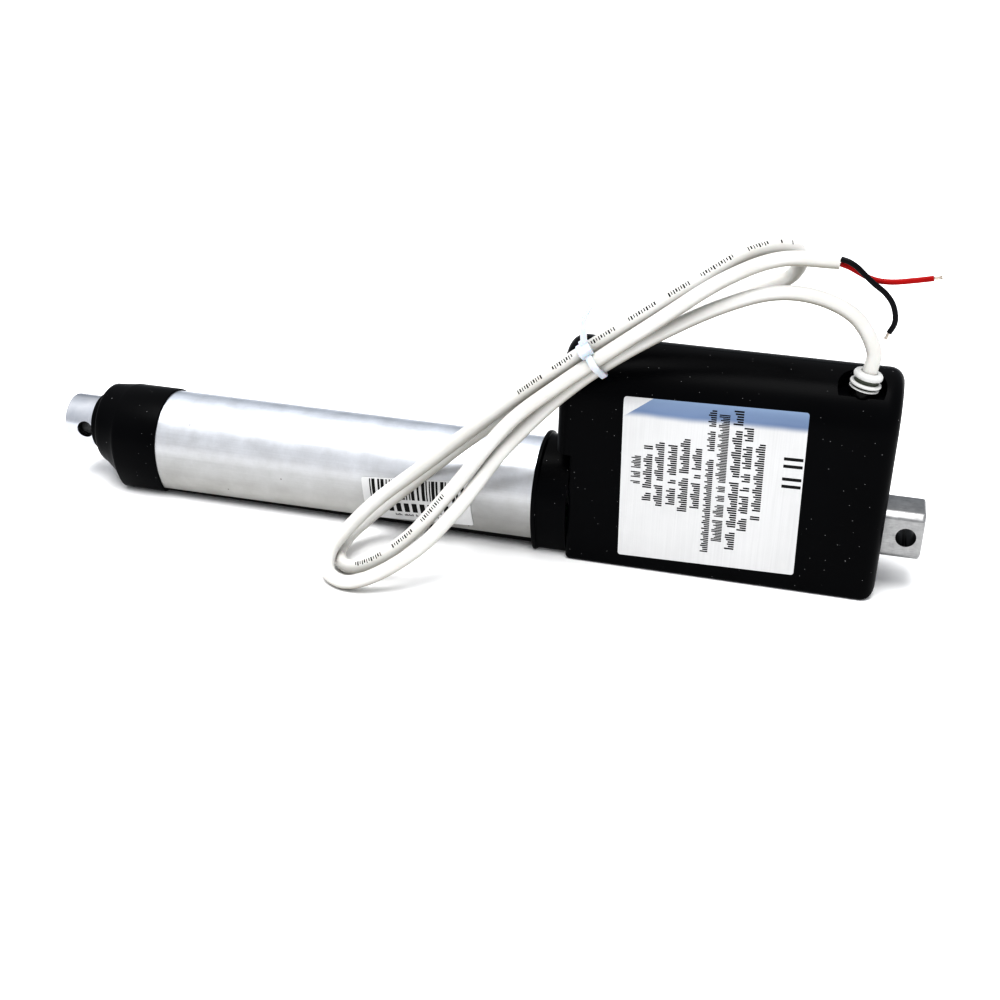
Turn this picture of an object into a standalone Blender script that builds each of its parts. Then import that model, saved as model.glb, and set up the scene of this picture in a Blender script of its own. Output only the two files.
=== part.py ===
"""Electric linear actuator: a black two-shell gear housing with a parallel motor, a profiled
aluminium outer tube, a sliding rod on a lead screw, a rear mounting block and a free cable.
Metres, +Z up. The rod slides along -X, the rating label faces -Y, the floor is Z = 0."""

import math

import bmesh
import bpy
from mathutils import Matrix, Vector

MM = 0.001

# Spindle line and travel
AXIS_Z = 21.8 * MM
ROD_TIP_X = -164.4 * MM
BLOCK_END_X = 164.4 * MM
EYE_INSET = 8.8 * MM
REAR_HOLE_INSET = 5.8 * MM
MOUNT_HOLE_R = 3.2 * MM
SCREW_LEAD = 4.0 * MM

# Rod, nut and lead screw
ROD_R = 10.0 * MM
ROD_BORE_R = 7.0 * MM
ROD_INNER_END_X = 84.0 * MM
NUT_END_X = 98.0 * MM
NUT_R = 11.5 * MM
SCREW_R = 5.0 * MM
SCREW_FRONT_X = -128.0 * MM
JOURNAL_R = 3.5 * MM
JOURNAL_X = 102.0 * MM
SCREW_REAR_X = 130.5 * MM

# Outer tube profile: a round crown on sides that draw in to a flat base
TUBE_R = 18.5 * MM
TUBE_CENTRE_Z = 19.0 * MM
TUBE_SIDE_R = 29.6 * MM
TUBE_SIDE_TURN = math.radians(31.8)
TUBE_BASE_Z = 0.8 * MM
TUBE_WALL = 1.8 * MM
TUBE_FRONT_X = -140.0 * MM
TUBE_REAR_X = 40.4 * MM

# Front cap
CAP_FACE_X = -152.4 * MM
CAP_NOSE_R = 11.6 * MM
CAP_SHOULDER_R = 15.7 * MM
CAP_BODY_X = -139.0 * MM
CAP_REAR_X = -121.2 * MM
CAP_PROUD = 0.7 * MM

# Collar on the tube at the housing
COLLAR_FRONT_X = 28.0 * MM
COLLAR_REAR_X = 40.6 * MM
COLLAR_PROUD = 1.6 * MM
COLLAR_LIP_PROUD = 2.6 * MM
COLLAR_LIP = 1.8 * MM

# Housing
HOUSING_X0 = 35.6 * MM
HOUSING_X1 = 149.3 * MM
HOUSING_HALF = 18.7 * MM
CROWN_Z = 60.5 * MM
HOUSING_WALL = 2.2 * MM
HOUSING_EDGE_R = 4.5 * MM
FOOT_EDGE_R = 1.6 * MM
NOTCH_X = 41.0 * MM
NOTCH_TOP_Z = 41.4 * MM
SEAM_GAP = 0.3 * MM

# Cable gland and its pocket
GLAND_AT = Vector((137.1 * MM, -10.0 * MM, 74.2 * MM))
GLAND_LEAN = math.radians(10.0)
GLAND_HOLE_R = 4.2 * MM
POCKET_AT = (136.8 * MM, -10.4 * MM)
POCKET_R = 8.0 * MM
POCKET_FLOOR_Z = 73.3 * MM
CAVITY_STEP_X = 128.0 * MM
CAVITY_LOW_Z = 69.0 * MM

# Motor and gear train
MOTOR_Z = 60.4 * MM
MOTOR_R = 16.0 * MM
MOTOR_X0 = 51.0 * MM
MOTOR_X1 = 103.0 * MM
PLATE_X0 = 103.4 * MM
PLATE_X1 = 105.6 * MM
STAGE1_MODULE = 0.8 * MM
PINION_TEETH = 9
WHEEL_TEETH = 38
STAGE2_MODULE = 0.9 * MM
SMALL_TEETH = 10
SPINDLE_TEETH = 34
STAGE1_X = (107.0 * MM, 111.0 * MM)
STAGE2_X = (112.2 * MM, 118.0 * MM)
REDUCTION_Z = MOTOR_Z - STAGE1_MODULE * (PINION_TEETH + WHEEL_TEETH) / 2
CARRIER_X = (121.5 * MM, 128.5 * MM)
BEARING_R = 9.5 * MM

# Rear block and housing screws
BLOCK_WIDTH = 17.0 * MM
BLOCK_HEIGHT = 17.8 * MM
BLOCK_CHAMFER = 2.1 * MM
BLOCK_FRONT_X = 133.5 * MM
BLOCK_CLEARANCE = 0.3 * MM
BOSS_END_X = 150.6 * MM
BOSS_MARGIN = 1.3 * MM
CROSS_PIN_X = 139.0 * MM
CROSS_PIN_R = 2.0 * MM
SCREW_POSTS = ((41.8, 50.0), (60.0, 38.0), (96.0, 38.0), (142.5, 6.2), (142.5, 55.0))

# Label and sticker
LABEL_SIZE = (62.3 * MM, 60.8 * MM)
LABEL_CENTRE = (90.8 * MM, 36.4 * MM)
LABEL_TURN = math.radians(1.4)
STICKER_SIZE = (41.5 * MM, 18.6 * MM)
STICKER_CENTRE = (-15.6 * MM, -4.6 * MM)
STICKER_TURN = math.radians(4.6)
SHEET = 0.22 * MM
SHEET_GAP = 0.12 * MM

# Cable: from the gland through the tie four times, with two loops on the floor in front of
# the tube and one in the air above the housing. Points in millimetres.
CABLE_R = 2.5 * MM
CABLE_ROUTE = (
    (137.1, -10.0, 73.9),
    (138.7, -10.0, 83.2),
    (138.9, -10.0, 88.2),
    (132.0, -9.9, 98.9),
    (119.6, -10.5, 104.7),
    (105.4, -11.6, 105.3),
    (87.6, -14.1, 99.2),
    (59.5, -19.3, 82.8),
    (39.7, -25.1, 67.6),
    (21.3, -34.7, 48.0),
    (7.5, -46.6, 27.9),
    (-4.3, -55.4, 15.0),
    (-19.2, -61.9, 5.6),
    (-28.2, -62.4, 2.8),
    (-35.3, -58.2, 3.4),
    (-37.6, -50.2, 6.8),
    (-34.3, -40.9, 12.0),
    (-25.9, -33.4, 20.8),
    (-9.6, -29.8, 35.1),
    (16.4, -27.8, 58.5),
    (41.6, -22.9, 79.3),
    (76.4, -13.6, 104.6),
    (93.2, -7.2, 115.6),
    (102.5, -1.3, 117.9),
    (109.1, 3.1, 116.7),
    (111.6, 8.0, 111.0),
    (108.4, 11.1, 104.4),
    (101.4, 10.5, 100.9),
    (88.7, 8.0, 95.2),
    (71.8, -0.9, 87.8),
    (51.4, -11.8, 81.9),
    (36.4, -19.4, 71.7),
    (19.1, -22.6, 56.7),
    (-3.9, -21.9, 35.7),
    (-21.7, -22.2, 18.6),
    (-31.4, -26.9, 9.9),
    (-36.6, -35.3, 5.1),
    (-36.3, -45.1, 2.9),
    (-30.7, -51.9, 3.1),
    (-21.7, -53.6, 6.8),
    (-8.2, -50.5, 17.4),
    (5.7, -44.2, 35.0),
    (22.9, -34.8, 58.2),
    (39.0, -29.3, 72.1),
    (66.9, -22.1, 93.5),
    (89.4, -15.0, 109.6),
    (105.5, -10.3, 116.2),
    (124.1, -8.0, 116.7),
)

# Wires out of the cable's far end, in millimetres
WIRE_R = 0.9 * MM
STRAND_R = 0.5 * MM
STRAND_LENGTH = 2.6 * MM
RED_ROUTE = (
    (124.5, -7.4, 115.8),
    (127.6, -7.1, 114.8),
    (130.6, -6.7, 113.3),
    (133.9, -6.5, 111.8),
    (137.5, -6.6, 111.1),
    (141.8, -7.0, 111.3),
    (148.1, -7.5, 112.6),
    (153.8, -8.0, 114.0),
)
BLACK_ROUTE = (
    (124.5, -8.7, 117.7),
    (127.0, -9.2, 117.2),
    (129.7, -9.7, 115.9),
    (132.9, -9.9, 113.3),
    (135.9, -9.8, 110.9),
    (139.8, -9.2, 107.9),
    (142.5, -8.5, 104.4),
    (143.9, -8.0, 100.1),
    (143.9, -7.8, 97.6),
    (142.7, -7.5, 94.5),
)

# Cable tie round the four strands: its plane's point, that plane's direction and the side that
# its head is on; then where the head sits across the bundle, and the tail's way up from the head
TIE_AT = (48.2, -20.1, 78.9)
TIE_ALONG = (-0.79, -0.20, -0.58)
TIE_OUT = (-0.358, -0.617, 0.701)
TIE_HEAD_ACROSS = -2.1 * MM
TIE_HEAD = (4.8 * MM, 3.4 * MM, 4.6 * MM)
TIE_TAIL = (
    (0.0, 0.0, 0.0),
    (-0.4, 0.2, 3.2),
    (-0.8, 0.9, 6.7),
    (-1.1, 2.0, 9.8),
    (-0.4, 3.3, 12.0),
    (0.6, 4.7, 13.7),
    (1.3, 5.8, 14.9),
)
TIE_WIDTH = 2.3 * MM
TIE_THICK = 0.6 * MM
TIE_GAP = 0.72 * MM
TIE_TAIL_THICK = 0.9 * MM


def clear_scene():
    for obj in list(bpy.data.objects):
        bpy.data.objects.remove(obj, do_unlink=True)
    for mesh in list(bpy.data.meshes):
        bpy.data.meshes.remove(mesh)


def new_collection(name):
    made = bpy.data.collections.new(name)
    bpy.context.scene.collection.children.link(made)
    return made


def material(name, colour, roughness, metallic=0.0):
    made = bpy.data.materials.new(name)
    made.use_nodes = True
    shader = made.node_tree.nodes["Principled BSDF"]
    shader.inputs["Base Color"].default_value = (*colour, 1.0)
    shader.inputs["Roughness"].default_value = roughness
    shader.inputs["Metallic"].default_value = metallic
    made.diffuse_color = (*colour, 1.0)
    return made


def add_object(name, data, look=None, smooth=True):
    """Links a new object: a part where it has a look, and otherwise a cutter."""
    obj = bpy.data.objects.new(name, data)
    if look is None:
        CUTTERS.objects.link(obj)
        obj.hide_render = True
        obj.display_type = "WIRE"
        return obj
    PARTS.objects.link(obj)
    data.materials.append(look)
    if smooth and obj.type == "MESH":
        for polygon in data.polygons:
            polygon.use_smooth = True
        data.set_sharp_from_angle(angle=math.radians(40))
    return obj


def mesh_from(name, bm):
    bmesh.ops.recalc_face_normals(bm, faces=bm.faces)
    mesh = bpy.data.meshes.new(name)
    bm.to_mesh(mesh)
    bm.free()
    return mesh


def box(name, low, high, look=None, edge=0.0):
    """A box between two corners, with its edges rounded by edge."""
    low, high = Vector(low), Vector(high)
    bm = bmesh.new()
    bmesh.ops.create_cube(bm, size=1.0)
    bmesh.ops.scale(bm, vec=high - low, verts=bm.verts)
    obj = add_object(name, mesh_from(name, bm), look)
    obj.matrix_world = Matrix.Translation((low + high) / 2)
    if edge:
        bevel = obj.modifiers.new("edge", "BEVEL")
        bevel.width = edge
        bevel.segments = 2
    return obj


TURN_TO = {
    "X": Matrix.Rotation(math.pi / 2, 4, "Y"),
    "Y": Matrix.Rotation(-math.pi / 2, 4, "X"),
    "Z": Matrix.Identity(4),
}


def cylinder(name, radius, low, high, axis, centre, look=None, sides=32, edge=0.0):
    """A cylinder along a row axis from low to high; centre holds its other two coordinates."""
    bm = bmesh.new()
    bmesh.ops.create_cone(
        bm, cap_ends=True, segments=sides, radius1=radius, radius2=radius, depth=high - low
    )
    obj = add_object(name, mesh_from(name, bm), look)
    middle = list(centre)
    middle.insert("XYZ".index(axis), (low + high) / 2)
    obj.matrix_world = Matrix.Translation(middle) @ TURN_TO[axis]
    if edge:
        bevel = obj.modifiers.new("edge", "BEVEL")
        bevel.width = edge
        bevel.segments = 2
        bevel.limit_method = "ANGLE"
        bevel.angle_limit = math.radians(60)
    return obj


def turned(name, profile, place, look=None, sides=32, closed=True):
    """Turns (radius, height) points about place's Z axis. They run down the outer side."""
    bm = bmesh.new()
    verts = [bm.verts.new((radius, 0.0, height)) for radius, height in profile]
    for first, second in zip(verts, verts[1:]):
        bm.edges.new((first, second))
    if closed:
        bm.edges.new((verts[-1], verts[0]))
    mesh = bpy.data.meshes.new(name)
    bm.to_mesh(mesh)
    bm.free()
    obj = add_object(name, mesh, look)
    obj.matrix_world = place
    screw = obj.modifiers.new("turn", "SCREW")
    screw.steps = sides
    screw.render_steps = sides
    screw.use_merge_vertices = True
    screw.merge_threshold = 0.00001
    screw.use_smooth_shade = False
    return obj


def ring(name, inner, outer, low, high, look, centre_z=AXIS_Z, sides=32):
    """A plain ring about a line along X."""
    profile = ((outer, high), (outer, low), (inner, low), (inner, high))
    place = Matrix.Translation((0, 0, centre_z)) @ TURN_TO["X"]
    return turned(name, profile, place, look, sides)


def fixed_mesh(obj):
    """Replaces an object by the mesh that it evaluates to, with its matrix applied."""
    graph = bpy.context.evaluated_depsgraph_get()
    graph.update()
    mesh = bpy.data.meshes.new_from_object(obj.evaluated_get(graph), depsgraph=graph)
    mesh.transform(obj.matrix_world)
    bm = bmesh.new()
    bm.from_mesh(mesh)
    bmesh.ops.remove_doubles(bm, verts=bm.verts, dist=0.000001)
    bmesh.ops.recalc_face_normals(bm, faces=bm.faces)
    bm.to_mesh(mesh)
    bm.free()
    name = obj.name
    look = obj.data.materials[0] if obj.data.materials else None
    bpy.data.objects.remove(obj, do_unlink=True)
    mesh.materials.clear()
    return add_object(name, mesh, look)


def extrusion(name, loops, low, high, look=None):
    """Outlines in the YZ plane, the later ones holes in the first, drawn out along X."""
    curve = bpy.data.curves.new(name, "CURVE")
    curve.dimensions = "2D"
    curve.fill_mode = "BOTH"
    curve.extrude = (high - low) / 2
    for loop in loops:
        spline = curve.splines.new("POLY")
        spline.points.add(len(loop) - 1)
        for point, (y, z) in zip(spline.points, loop):
            point.co = (y, z, 0.0, 1.0)
        spline.use_cyclic_u = True
    obj = bpy.data.objects.new(name, curve)
    PARTS.objects.link(obj)
    if look:
        curve.materials.append(look)
    along_x = Matrix(((0, 0, 1, 0), (1, 0, 0, 0), (0, 1, 0, 0), (0, 0, 0, 1)))
    obj.matrix_world = Matrix.Translation(((low + high) / 2, 0, 0)) @ along_x
    bpy.context.view_layer.update()
    return fixed_mesh(obj)


def loft(name, rings, look, closed=False):
    """A skin through rings of points, all of one length, closed by end faces or on itself."""
    bm = bmesh.new()
    rows = [[bm.verts.new(point) for point in points] for points in rings]
    pairs = list(zip(rows, rows[1:]))
    if closed:
        pairs.append((rows[-1], rows[0]))
    else:
        bm.faces.new(rows[0])
        bm.faces.new(rows[-1])
    for first, second in pairs:
        for i in range(len(first)):
            j = (i + 1) % len(first)
            bm.faces.new((first[i], first[j], second[j], second[i]))
    return add_object(name, mesh_from(name, bm), look)


def boolean(obj, operation, *others):
    for other in others:
        modifier = obj.modifiers.new(other.name, "BOOLEAN")
        modifier.operation = operation
        modifier.solver = "EXACT"
        modifier.object = other


def cut(obj, *cutters):
    boolean(obj, "DIFFERENCE", *cutters)


def arc(centre, radius, start, end, steps):
    """Points on an arc, ends included, angles in radians."""
    turn = (end - start) / steps
    return [
        (
            centre[0] + radius * math.cos(start + turn * i),
            centre[1] + radius * math.sin(start + turn * i),
        )
        for i in range(steps + 1)
    ]


def tube_outline(proud):
    """The outer tube's profile, moved outwards by proud and kept on or above the floor."""
    side_centre = (TUBE_R - TUBE_SIDE_R, TUBE_CENTRE_Z)
    corner_z = TUBE_CENTRE_Z - TUBE_SIDE_R * math.sin(TUBE_SIDE_TURN)
    corner_r = (corner_z - TUBE_BASE_Z) / (1 - math.sin(TUBE_SIDE_TURN))
    corner_centre = (
        side_centre[0] + (TUBE_SIDE_R - corner_r) * math.cos(TUBE_SIDE_TURN),
        TUBE_BASE_Z + corner_r,
    )
    right = arc(corner_centre, corner_r + proud, -math.pi / 2, -TUBE_SIDE_TURN, 4)
    right += arc(side_centre, TUBE_SIDE_R + proud, -TUBE_SIDE_TURN, 0, 4)[1:]
    right += arc((0, TUBE_CENTRE_Z), TUBE_R + proud, 0, math.pi / 2, 9)[1:]
    whole = right + [(-y, z) for y, z in right[-2::-1]]
    return [(y, max(z, 0.1 * MM)) for y, z in whole]


def resampled(outline, centre_z, count):
    """Where count rays from (0, centre_z) meet an outline."""
    found = []
    for k in range(count):
        angle = 2 * math.pi * k / count - math.pi / 2
        ray = Vector((math.cos(angle), math.sin(angle)))
        for (y0, z0), (y1, z1) in zip(outline, outline[1:] + outline[:1]):
            start = Vector((y0, z0 - centre_z))
            edge = Vector((y1 - y0, z1 - z0))
            cross = ray.x * edge.y - ray.y * edge.x
            if abs(cross) < 1e-12:
                continue
            reach = (start.x * edge.y - start.y * edge.x) / cross
            share = (start.x * ray.y - start.y * ray.x) / cross
            if reach > 0 and -1e-6 <= share <= 1 + 1e-6:
                found.append(ray * reach)
                break
    return found


def housing_outline(inset):
    """The housing's cross-section: upright sides under a half-round crown."""
    half = HOUSING_HALF - inset
    corner = max(FOOT_EDGE_R - inset, 0.5 * MM)
    right = arc((half - corner, inset + corner), corner, -math.pi / 2, 0, 2)
    right += arc((0, CROWN_Z), half, 0, math.pi / 2, 10)
    return right + [(-y, z) for y, z in right[-2::-1]]


def low_outline(inset, top):
    """The same cross-section cut off flat at top."""
    half = HOUSING_HALF - inset
    reach = math.asin((top - CROWN_Z) / half)
    right = [(half, inset)] + arc((0, CROWN_Z), half, 0, reach, 4)
    return right + [(-y, z) for y, z in reversed(right)]


def make_housing():
    """Two shells that meet on the middle plane, with posts for the screws that join them."""
    for name, side in (("housing_front_shell", -1), ("housing_back_shell", 1)):
        shell = extrusion(name, [housing_outline(0)], HOUSING_X0, HOUSING_X1, BLACK)
        rounding = shell.modifiers.new("ends", "BEVEL")
        rounding.width = HOUSING_EDGE_R
        rounding.segments = 4
        rounding.limit_method = "ANGLE"
        rounding.angle_limit = math.radians(60)
        boolean(shell, "UNION", block_boss())
        cut(shell, *housing_cavities(), half_space(side), tube_notch())
        boolean(shell, "UNION", *shell_posts(side))
        if side < 0:
            cut(shell, gland_pocket(), gland_hole())
        cut(shell, *post_holes(side), block_opening(), cross_pin_hole(side), rod_opening())


def once(make):
    """Makes a cutter the first time and hands the same one back afterwards."""
    made = {}

    def wrapped(*args):
        if args not in made:
            made[args] = make(*args)
        return made[args]

    return wrapped


@once
def block_boss():
    """The raised square round the rear block."""
    half_y = BLOCK_WIDTH / 2 + BOSS_MARGIN
    half_z = BLOCK_HEIGHT / 2 + BOSS_MARGIN
    return box(
        "block_boss",
        (HOUSING_X1 - 1 * MM, -half_y, AXIS_Z - half_z),
        (BOSS_END_X, half_y, AXIS_Z + half_z),
    )


@once
def housing_cavities():
    inner = HOUSING_WALL
    full = extrusion(
        "cavity_main", [housing_outline(inner)], HOUSING_X0 + inner, CAVITY_STEP_X
    )
    low = extrusion(
        "cavity_rear",
        [low_outline(inner, CAVITY_LOW_Z)],
        CAVITY_STEP_X - 1 * MM,
        HOUSING_X1 - inner,
    )
    return full, low


@once
def half_space(side):
    """Everything on the far side of the seam from one shell."""
    near, far = sorted((side * SEAM_GAP / 2, -side * 40 * MM))
    return box(
        f"seam_{'front' if side < 0 else 'back'}",
        (HOUSING_X0 - 10 * MM, near, -10 * MM),
        (HOUSING_X1 + 10 * MM, far, 100 * MM),
    )


@once
def tube_notch():
    """Room for the collar under the housing's overhanging upper part."""
    return box(
        "tube_notch",
        (HOUSING_X0 - 5 * MM, -25 * MM, -5 * MM),
        (NOTCH_X, 25 * MM, NOTCH_TOP_Z),
    )


@once
def gland_pocket():
    return cylinder(
        "gland_pocket", POCKET_R, POCKET_FLOOR_Z, 90 * MM, "Z", POCKET_AT, sides=32
    )


@once
def gland_hole():
    return cylinder(
        "gland_hole", GLAND_HOLE_R, 60 * MM, 80 * MM, "Z", GLAND_AT[:2], sides=24
    )


@once
def rod_opening():
    """The way in for the rod through the housing's front wall."""
    return cylinder(
        "rod_opening", 13 * MM, NOTCH_X - 8 * MM, NOTCH_X + 6 * MM, "X", (0, AXIS_Z), sides=32
    )


@once
def block_opening():
    half_y = BLOCK_WIDTH / 2 + BLOCK_CLEARANCE
    half_z = BLOCK_HEIGHT / 2 + BLOCK_CLEARANCE
    return box(
        "block_opening",
        (140 * MM, -half_y, AXIS_Z - half_z),
        (160 * MM, half_y, AXIS_Z + half_z),
    )


@once
def cross_pin_hole(side):
    low, high = sorted((side * 4 * MM, side * 16.2 * MM))
    return cylinder(
        f"pin_hole_{side}",
        CROSS_PIN_R + 0.15 * MM,
        low,
        high,
        "Y",
        (CROSS_PIN_X, AXIS_Z),
        sides=16,
    )


def shell_posts(side):
    """Screw posts, and the saddle that holds the cross pin's end, as one shell needs them."""
    posts = []
    inner = HOUSING_HALF - HOUSING_WALL + 0.5 * MM
    low, high = sorted((side * SEAM_GAP / 2, side * inner))
    for index, (x, z) in enumerate(SCREW_POSTS):
        centre = (x * MM, z * MM)
        posts.append(
            cylinder(f"post_{side}_{index}", 4.2 * MM, low, high, "Y", centre, sides=20)
        )
    low, high = sorted((side * 9.2 * MM, side * inner))
    posts.append(
        cylinder(f"saddle_{side}", 4.5 * MM, low, high, "Y", (CROSS_PIN_X, AXIS_Z), sides=20)
    )
    return posts


def post_holes(side):
    """Screw holes: through with a head recess in the back shell, blind in the front one."""
    holes = []
    for index, (x, z) in enumerate(SCREW_POSTS):
        centre = (x * MM, z * MM)
        if side > 0:
            low, high = 0.0, 30 * MM
            head = cylinder(
                f"head_hole_{index}", 3.1 * MM, 14 * MM, 30 * MM, "Y", centre, sides=20
            )
            holes.append(head)
        else:
            low, high = -12 * MM, 0.0
        holes.append(
            cylinder(f"screw_hole_{side}_{index}", 1.7 * MM, low, high, "Y", centre, sides=12)
        )
    return holes


def make_housing_screws():
    """Pan-head screws with a cross recess, driven in from the back."""
    for index, (x, z) in enumerate(SCREW_POSTS):
        profile = (
            (0.0, 16.2 * MM),
            (1.8 * MM, 16.1 * MM),
            (2.7 * MM, 15.2 * MM),
            (2.7 * MM, 14.2 * MM),
            (1.5 * MM, 14.2 * MM),
            (1.5 * MM, -9.4 * MM),
            (0.6 * MM, -11.0 * MM),
            (0.0, -11.0 * MM),
        )
        place = Matrix.Translation((x * MM, 0, z * MM)) @ TURN_TO["Y"]
        screw = turned(
            f"housing_screw_{index + 1}", profile, place, STEEL, sides=12, closed=False
        )
        arms = []
        for part, (long, wide) in enumerate(((1.5 * MM, 0.4 * MM), (0.4 * MM, 1.5 * MM))):
            arms.append(
                box(
                    f"recess_{index}_{part}",
                    (x * MM - long, 15.2 * MM, z * MM - wide),
                    (x * MM + long, 17 * MM, z * MM + wide),
                )
            )
        cut(screw, *arms)


def sleeve(name, stations, look):
    """A sleeve of the tube's profile: (x, proud) corners of its wall, in order round it."""
    rings = [[(x, y, z) for y, z in tube_outline(proud)] for x, proud in stations]
    return loft(name, rings, look, closed=True)


def make_outer_tube():
    corners = (
        (TUBE_FRONT_X, 0.0),
        (TUBE_REAR_X, 0.0),
        (TUBE_REAR_X, -TUBE_WALL),
        (TUBE_FRONT_X, -TUBE_WALL),
    )
    sleeve("outer_tube", corners, ALLOY)


def make_collar():
    """A moulded sleeve on the tube with a raised lip at its front edge."""
    soft = 0.5 * MM
    lip_x = COLLAR_FRONT_X + COLLAR_LIP
    inside = 0.15 * MM
    corners = (
        (COLLAR_FRONT_X, inside),
        (COLLAR_FRONT_X, COLLAR_LIP_PROUD - soft),
        (COLLAR_FRONT_X + soft, COLLAR_LIP_PROUD),
        (lip_x - soft, COLLAR_LIP_PROUD),
        (lip_x, COLLAR_LIP_PROUD - soft),
        (lip_x, COLLAR_PROUD),
        (COLLAR_REAR_X, COLLAR_PROUD),
        (COLLAR_REAR_X, inside),
    )
    sleeve("tube_collar", corners, BLACK)


def make_front_cap():
    """A cap drawn from a round nose out to the tube's profile, with a slot for the tube."""
    count = 48
    full = resampled(tube_outline(CAP_PROUD), AXIS_Z, count)
    nose = [point.normalized() * CAP_NOSE_R for point in full]
    round_part = [point.normalized() * CAP_SHOULDER_R for point in full]
    stations = (
        (CAP_FACE_X, nose, 0.95),
        (CAP_FACE_X + 0.7 * MM, nose, 1.0),
        (CAP_FACE_X + 3.4 * MM, nose, 1.0),
        (CAP_FACE_X + 3.9 * MM, round_part, 0.95),
        (CAP_FACE_X + 4.8 * MM, round_part, 1.0),
        (CAP_FACE_X + 8.4 * MM, [a.lerp(b, 0.35) for a, b in zip(round_part, full)], 1.0),
        (CAP_BODY_X - 1.0 * MM, [a.lerp(b, 0.85) for a, b in zip(round_part, full)], 1.0),
        (CAP_BODY_X + 0.4 * MM, full, 1.0),
        (CAP_REAR_X - 0.4 * MM, full, 1.0),
        (CAP_REAR_X, full, 0.985),
    )
    rings = [
        [(x, point.x * scale, AXIS_Z + point.y * scale) for point in outline]
        for x, outline, scale in stations
    ]
    cap = loft("front_cap", rings, BLACK)
    slot = extrusion(
        "tube_slot",
        [tube_outline(0.2 * MM), tube_outline(-TUBE_WALL - 0.3 * MM)],
        TUBE_FRONT_X - 0.3 * MM,
        CAP_REAR_X + 5 * MM,
    )
    entry = cylinder(
        "nose_bore", 10.35 * MM, CAP_FACE_X - 5 * MM, -149 * MM, "X", (0, AXIS_Z), sides=48
    )
    groove = cylinder("seal_seat", 11.0 * MM, -151.2 * MM, -147.8 * MM, "X", (0, AXIS_Z), sides=32)
    seat = cylinder("bush_seat", 12.15 * MM, -146.4 * MM, -110 * MM, "X", (0, AXIS_Z), sides=32)
    neck = cylinder("bush_neck", 10.6 * MM, -149 * MM, -145 * MM, "X", (0, AXIS_Z), sides=32)
    cut(cap, slot, entry, groove, seat, neck)


def make_rod():
    """The sliding rod with its cross-drilled end, plug and nut."""
    eye_x = ROD_TIP_X + EYE_INSET
    eye = cylinder(
        "rod_eye", MOUNT_HOLE_R, -20 * MM, 20 * MM, "Y", (eye_x, AXIS_Z), sides=24
    )
    sinks = []
    for side in (-1, 1):
        profile = ((0.0, 2 * MM), (5.2 * MM, 2 * MM), (2.6 * MM, -0.9 * MM), (0.0, -0.9 * MM))
        place = Matrix.Translation((eye_x, side * 9.9 * MM, AXIS_Z)) @ Matrix.Rotation(
            -side * math.pi / 2, 4, "X"
        )
        sinks.append(turned(f"eye_sink_{side}", profile, place, sides=24, closed=False))
    profile = (
        (ROD_R - 0.7 * MM, -ROD_TIP_X),
        (ROD_R, -ROD_TIP_X - 0.7 * MM),
        (ROD_R, -ROD_INNER_END_X),
        (ROD_BORE_R, -ROD_INNER_END_X),
        (ROD_BORE_R, -ROD_TIP_X),
    )
    place = Matrix.Translation((0, 0, AXIS_Z)) @ Matrix.Rotation(-math.pi / 2, 4, "Y")
    rod = turned("inner_rod", profile, place, CHROME, sides=48)
    cut(rod, eye, *sinks)
    plug = cylinder(
        "rod_end_plug",
        ROD_BORE_R - 0.08 * MM,
        ROD_TIP_X,
        -145 * MM,
        "X",
        (0, AXIS_Z),
        ALLOY,
        sides=32,
    )
    cut(plug, eye)
    profile = (
        (NUT_R, -ROD_INNER_END_X - 0.3 * MM),
        (NUT_R, -NUT_END_X),
        (SCREW_R + 0.09 * MM, -NUT_END_X),
        (SCREW_R + 0.09 * MM, -70 * MM),
        (ROD_BORE_R - 0.1 * MM, -70 * MM),
        (ROD_BORE_R - 0.1 * MM, -ROD_INNER_END_X - 0.3 * MM),
    )
    nut = turned("drive_nut", profile, place, NYLON, sides=40)
    ride_on(empty("rod_line", (ROD_TIP_X, 0, AXIS_Z)), rod, plug, nut)


def gear_outline(teeth, module, pointing):
    """Tooth flanks as straight lines; the first tooth's middle points at the given angle."""
    pitch_r = module * teeth / 2
    pitch = 2 * math.pi / teeth
    outline = []
    for tooth in range(teeth):
        middle = pointing + tooth * pitch
        for radius, share in (
            (pitch_r - 0.85 * module, -0.30),
            (pitch_r + 0.55 * module, -0.11),
            (pitch_r + 0.55 * module, 0.11),
            (pitch_r - 0.85 * module, 0.30),
        ):
            angle = middle + share * pitch
            outline.append((radius * math.cos(angle), radius * math.sin(angle)))
    return outline


def gear(name, teeth, module, pointing, centre_z, span, bore, look):
    wheel = [(y, z + centre_z) for y, z in gear_outline(teeth, module, pointing)]
    hole = arc((0, centre_z), bore, 0, 2 * math.pi, 20)[:-1]
    return extrusion(name, [wheel, hole], *span, look)


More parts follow.
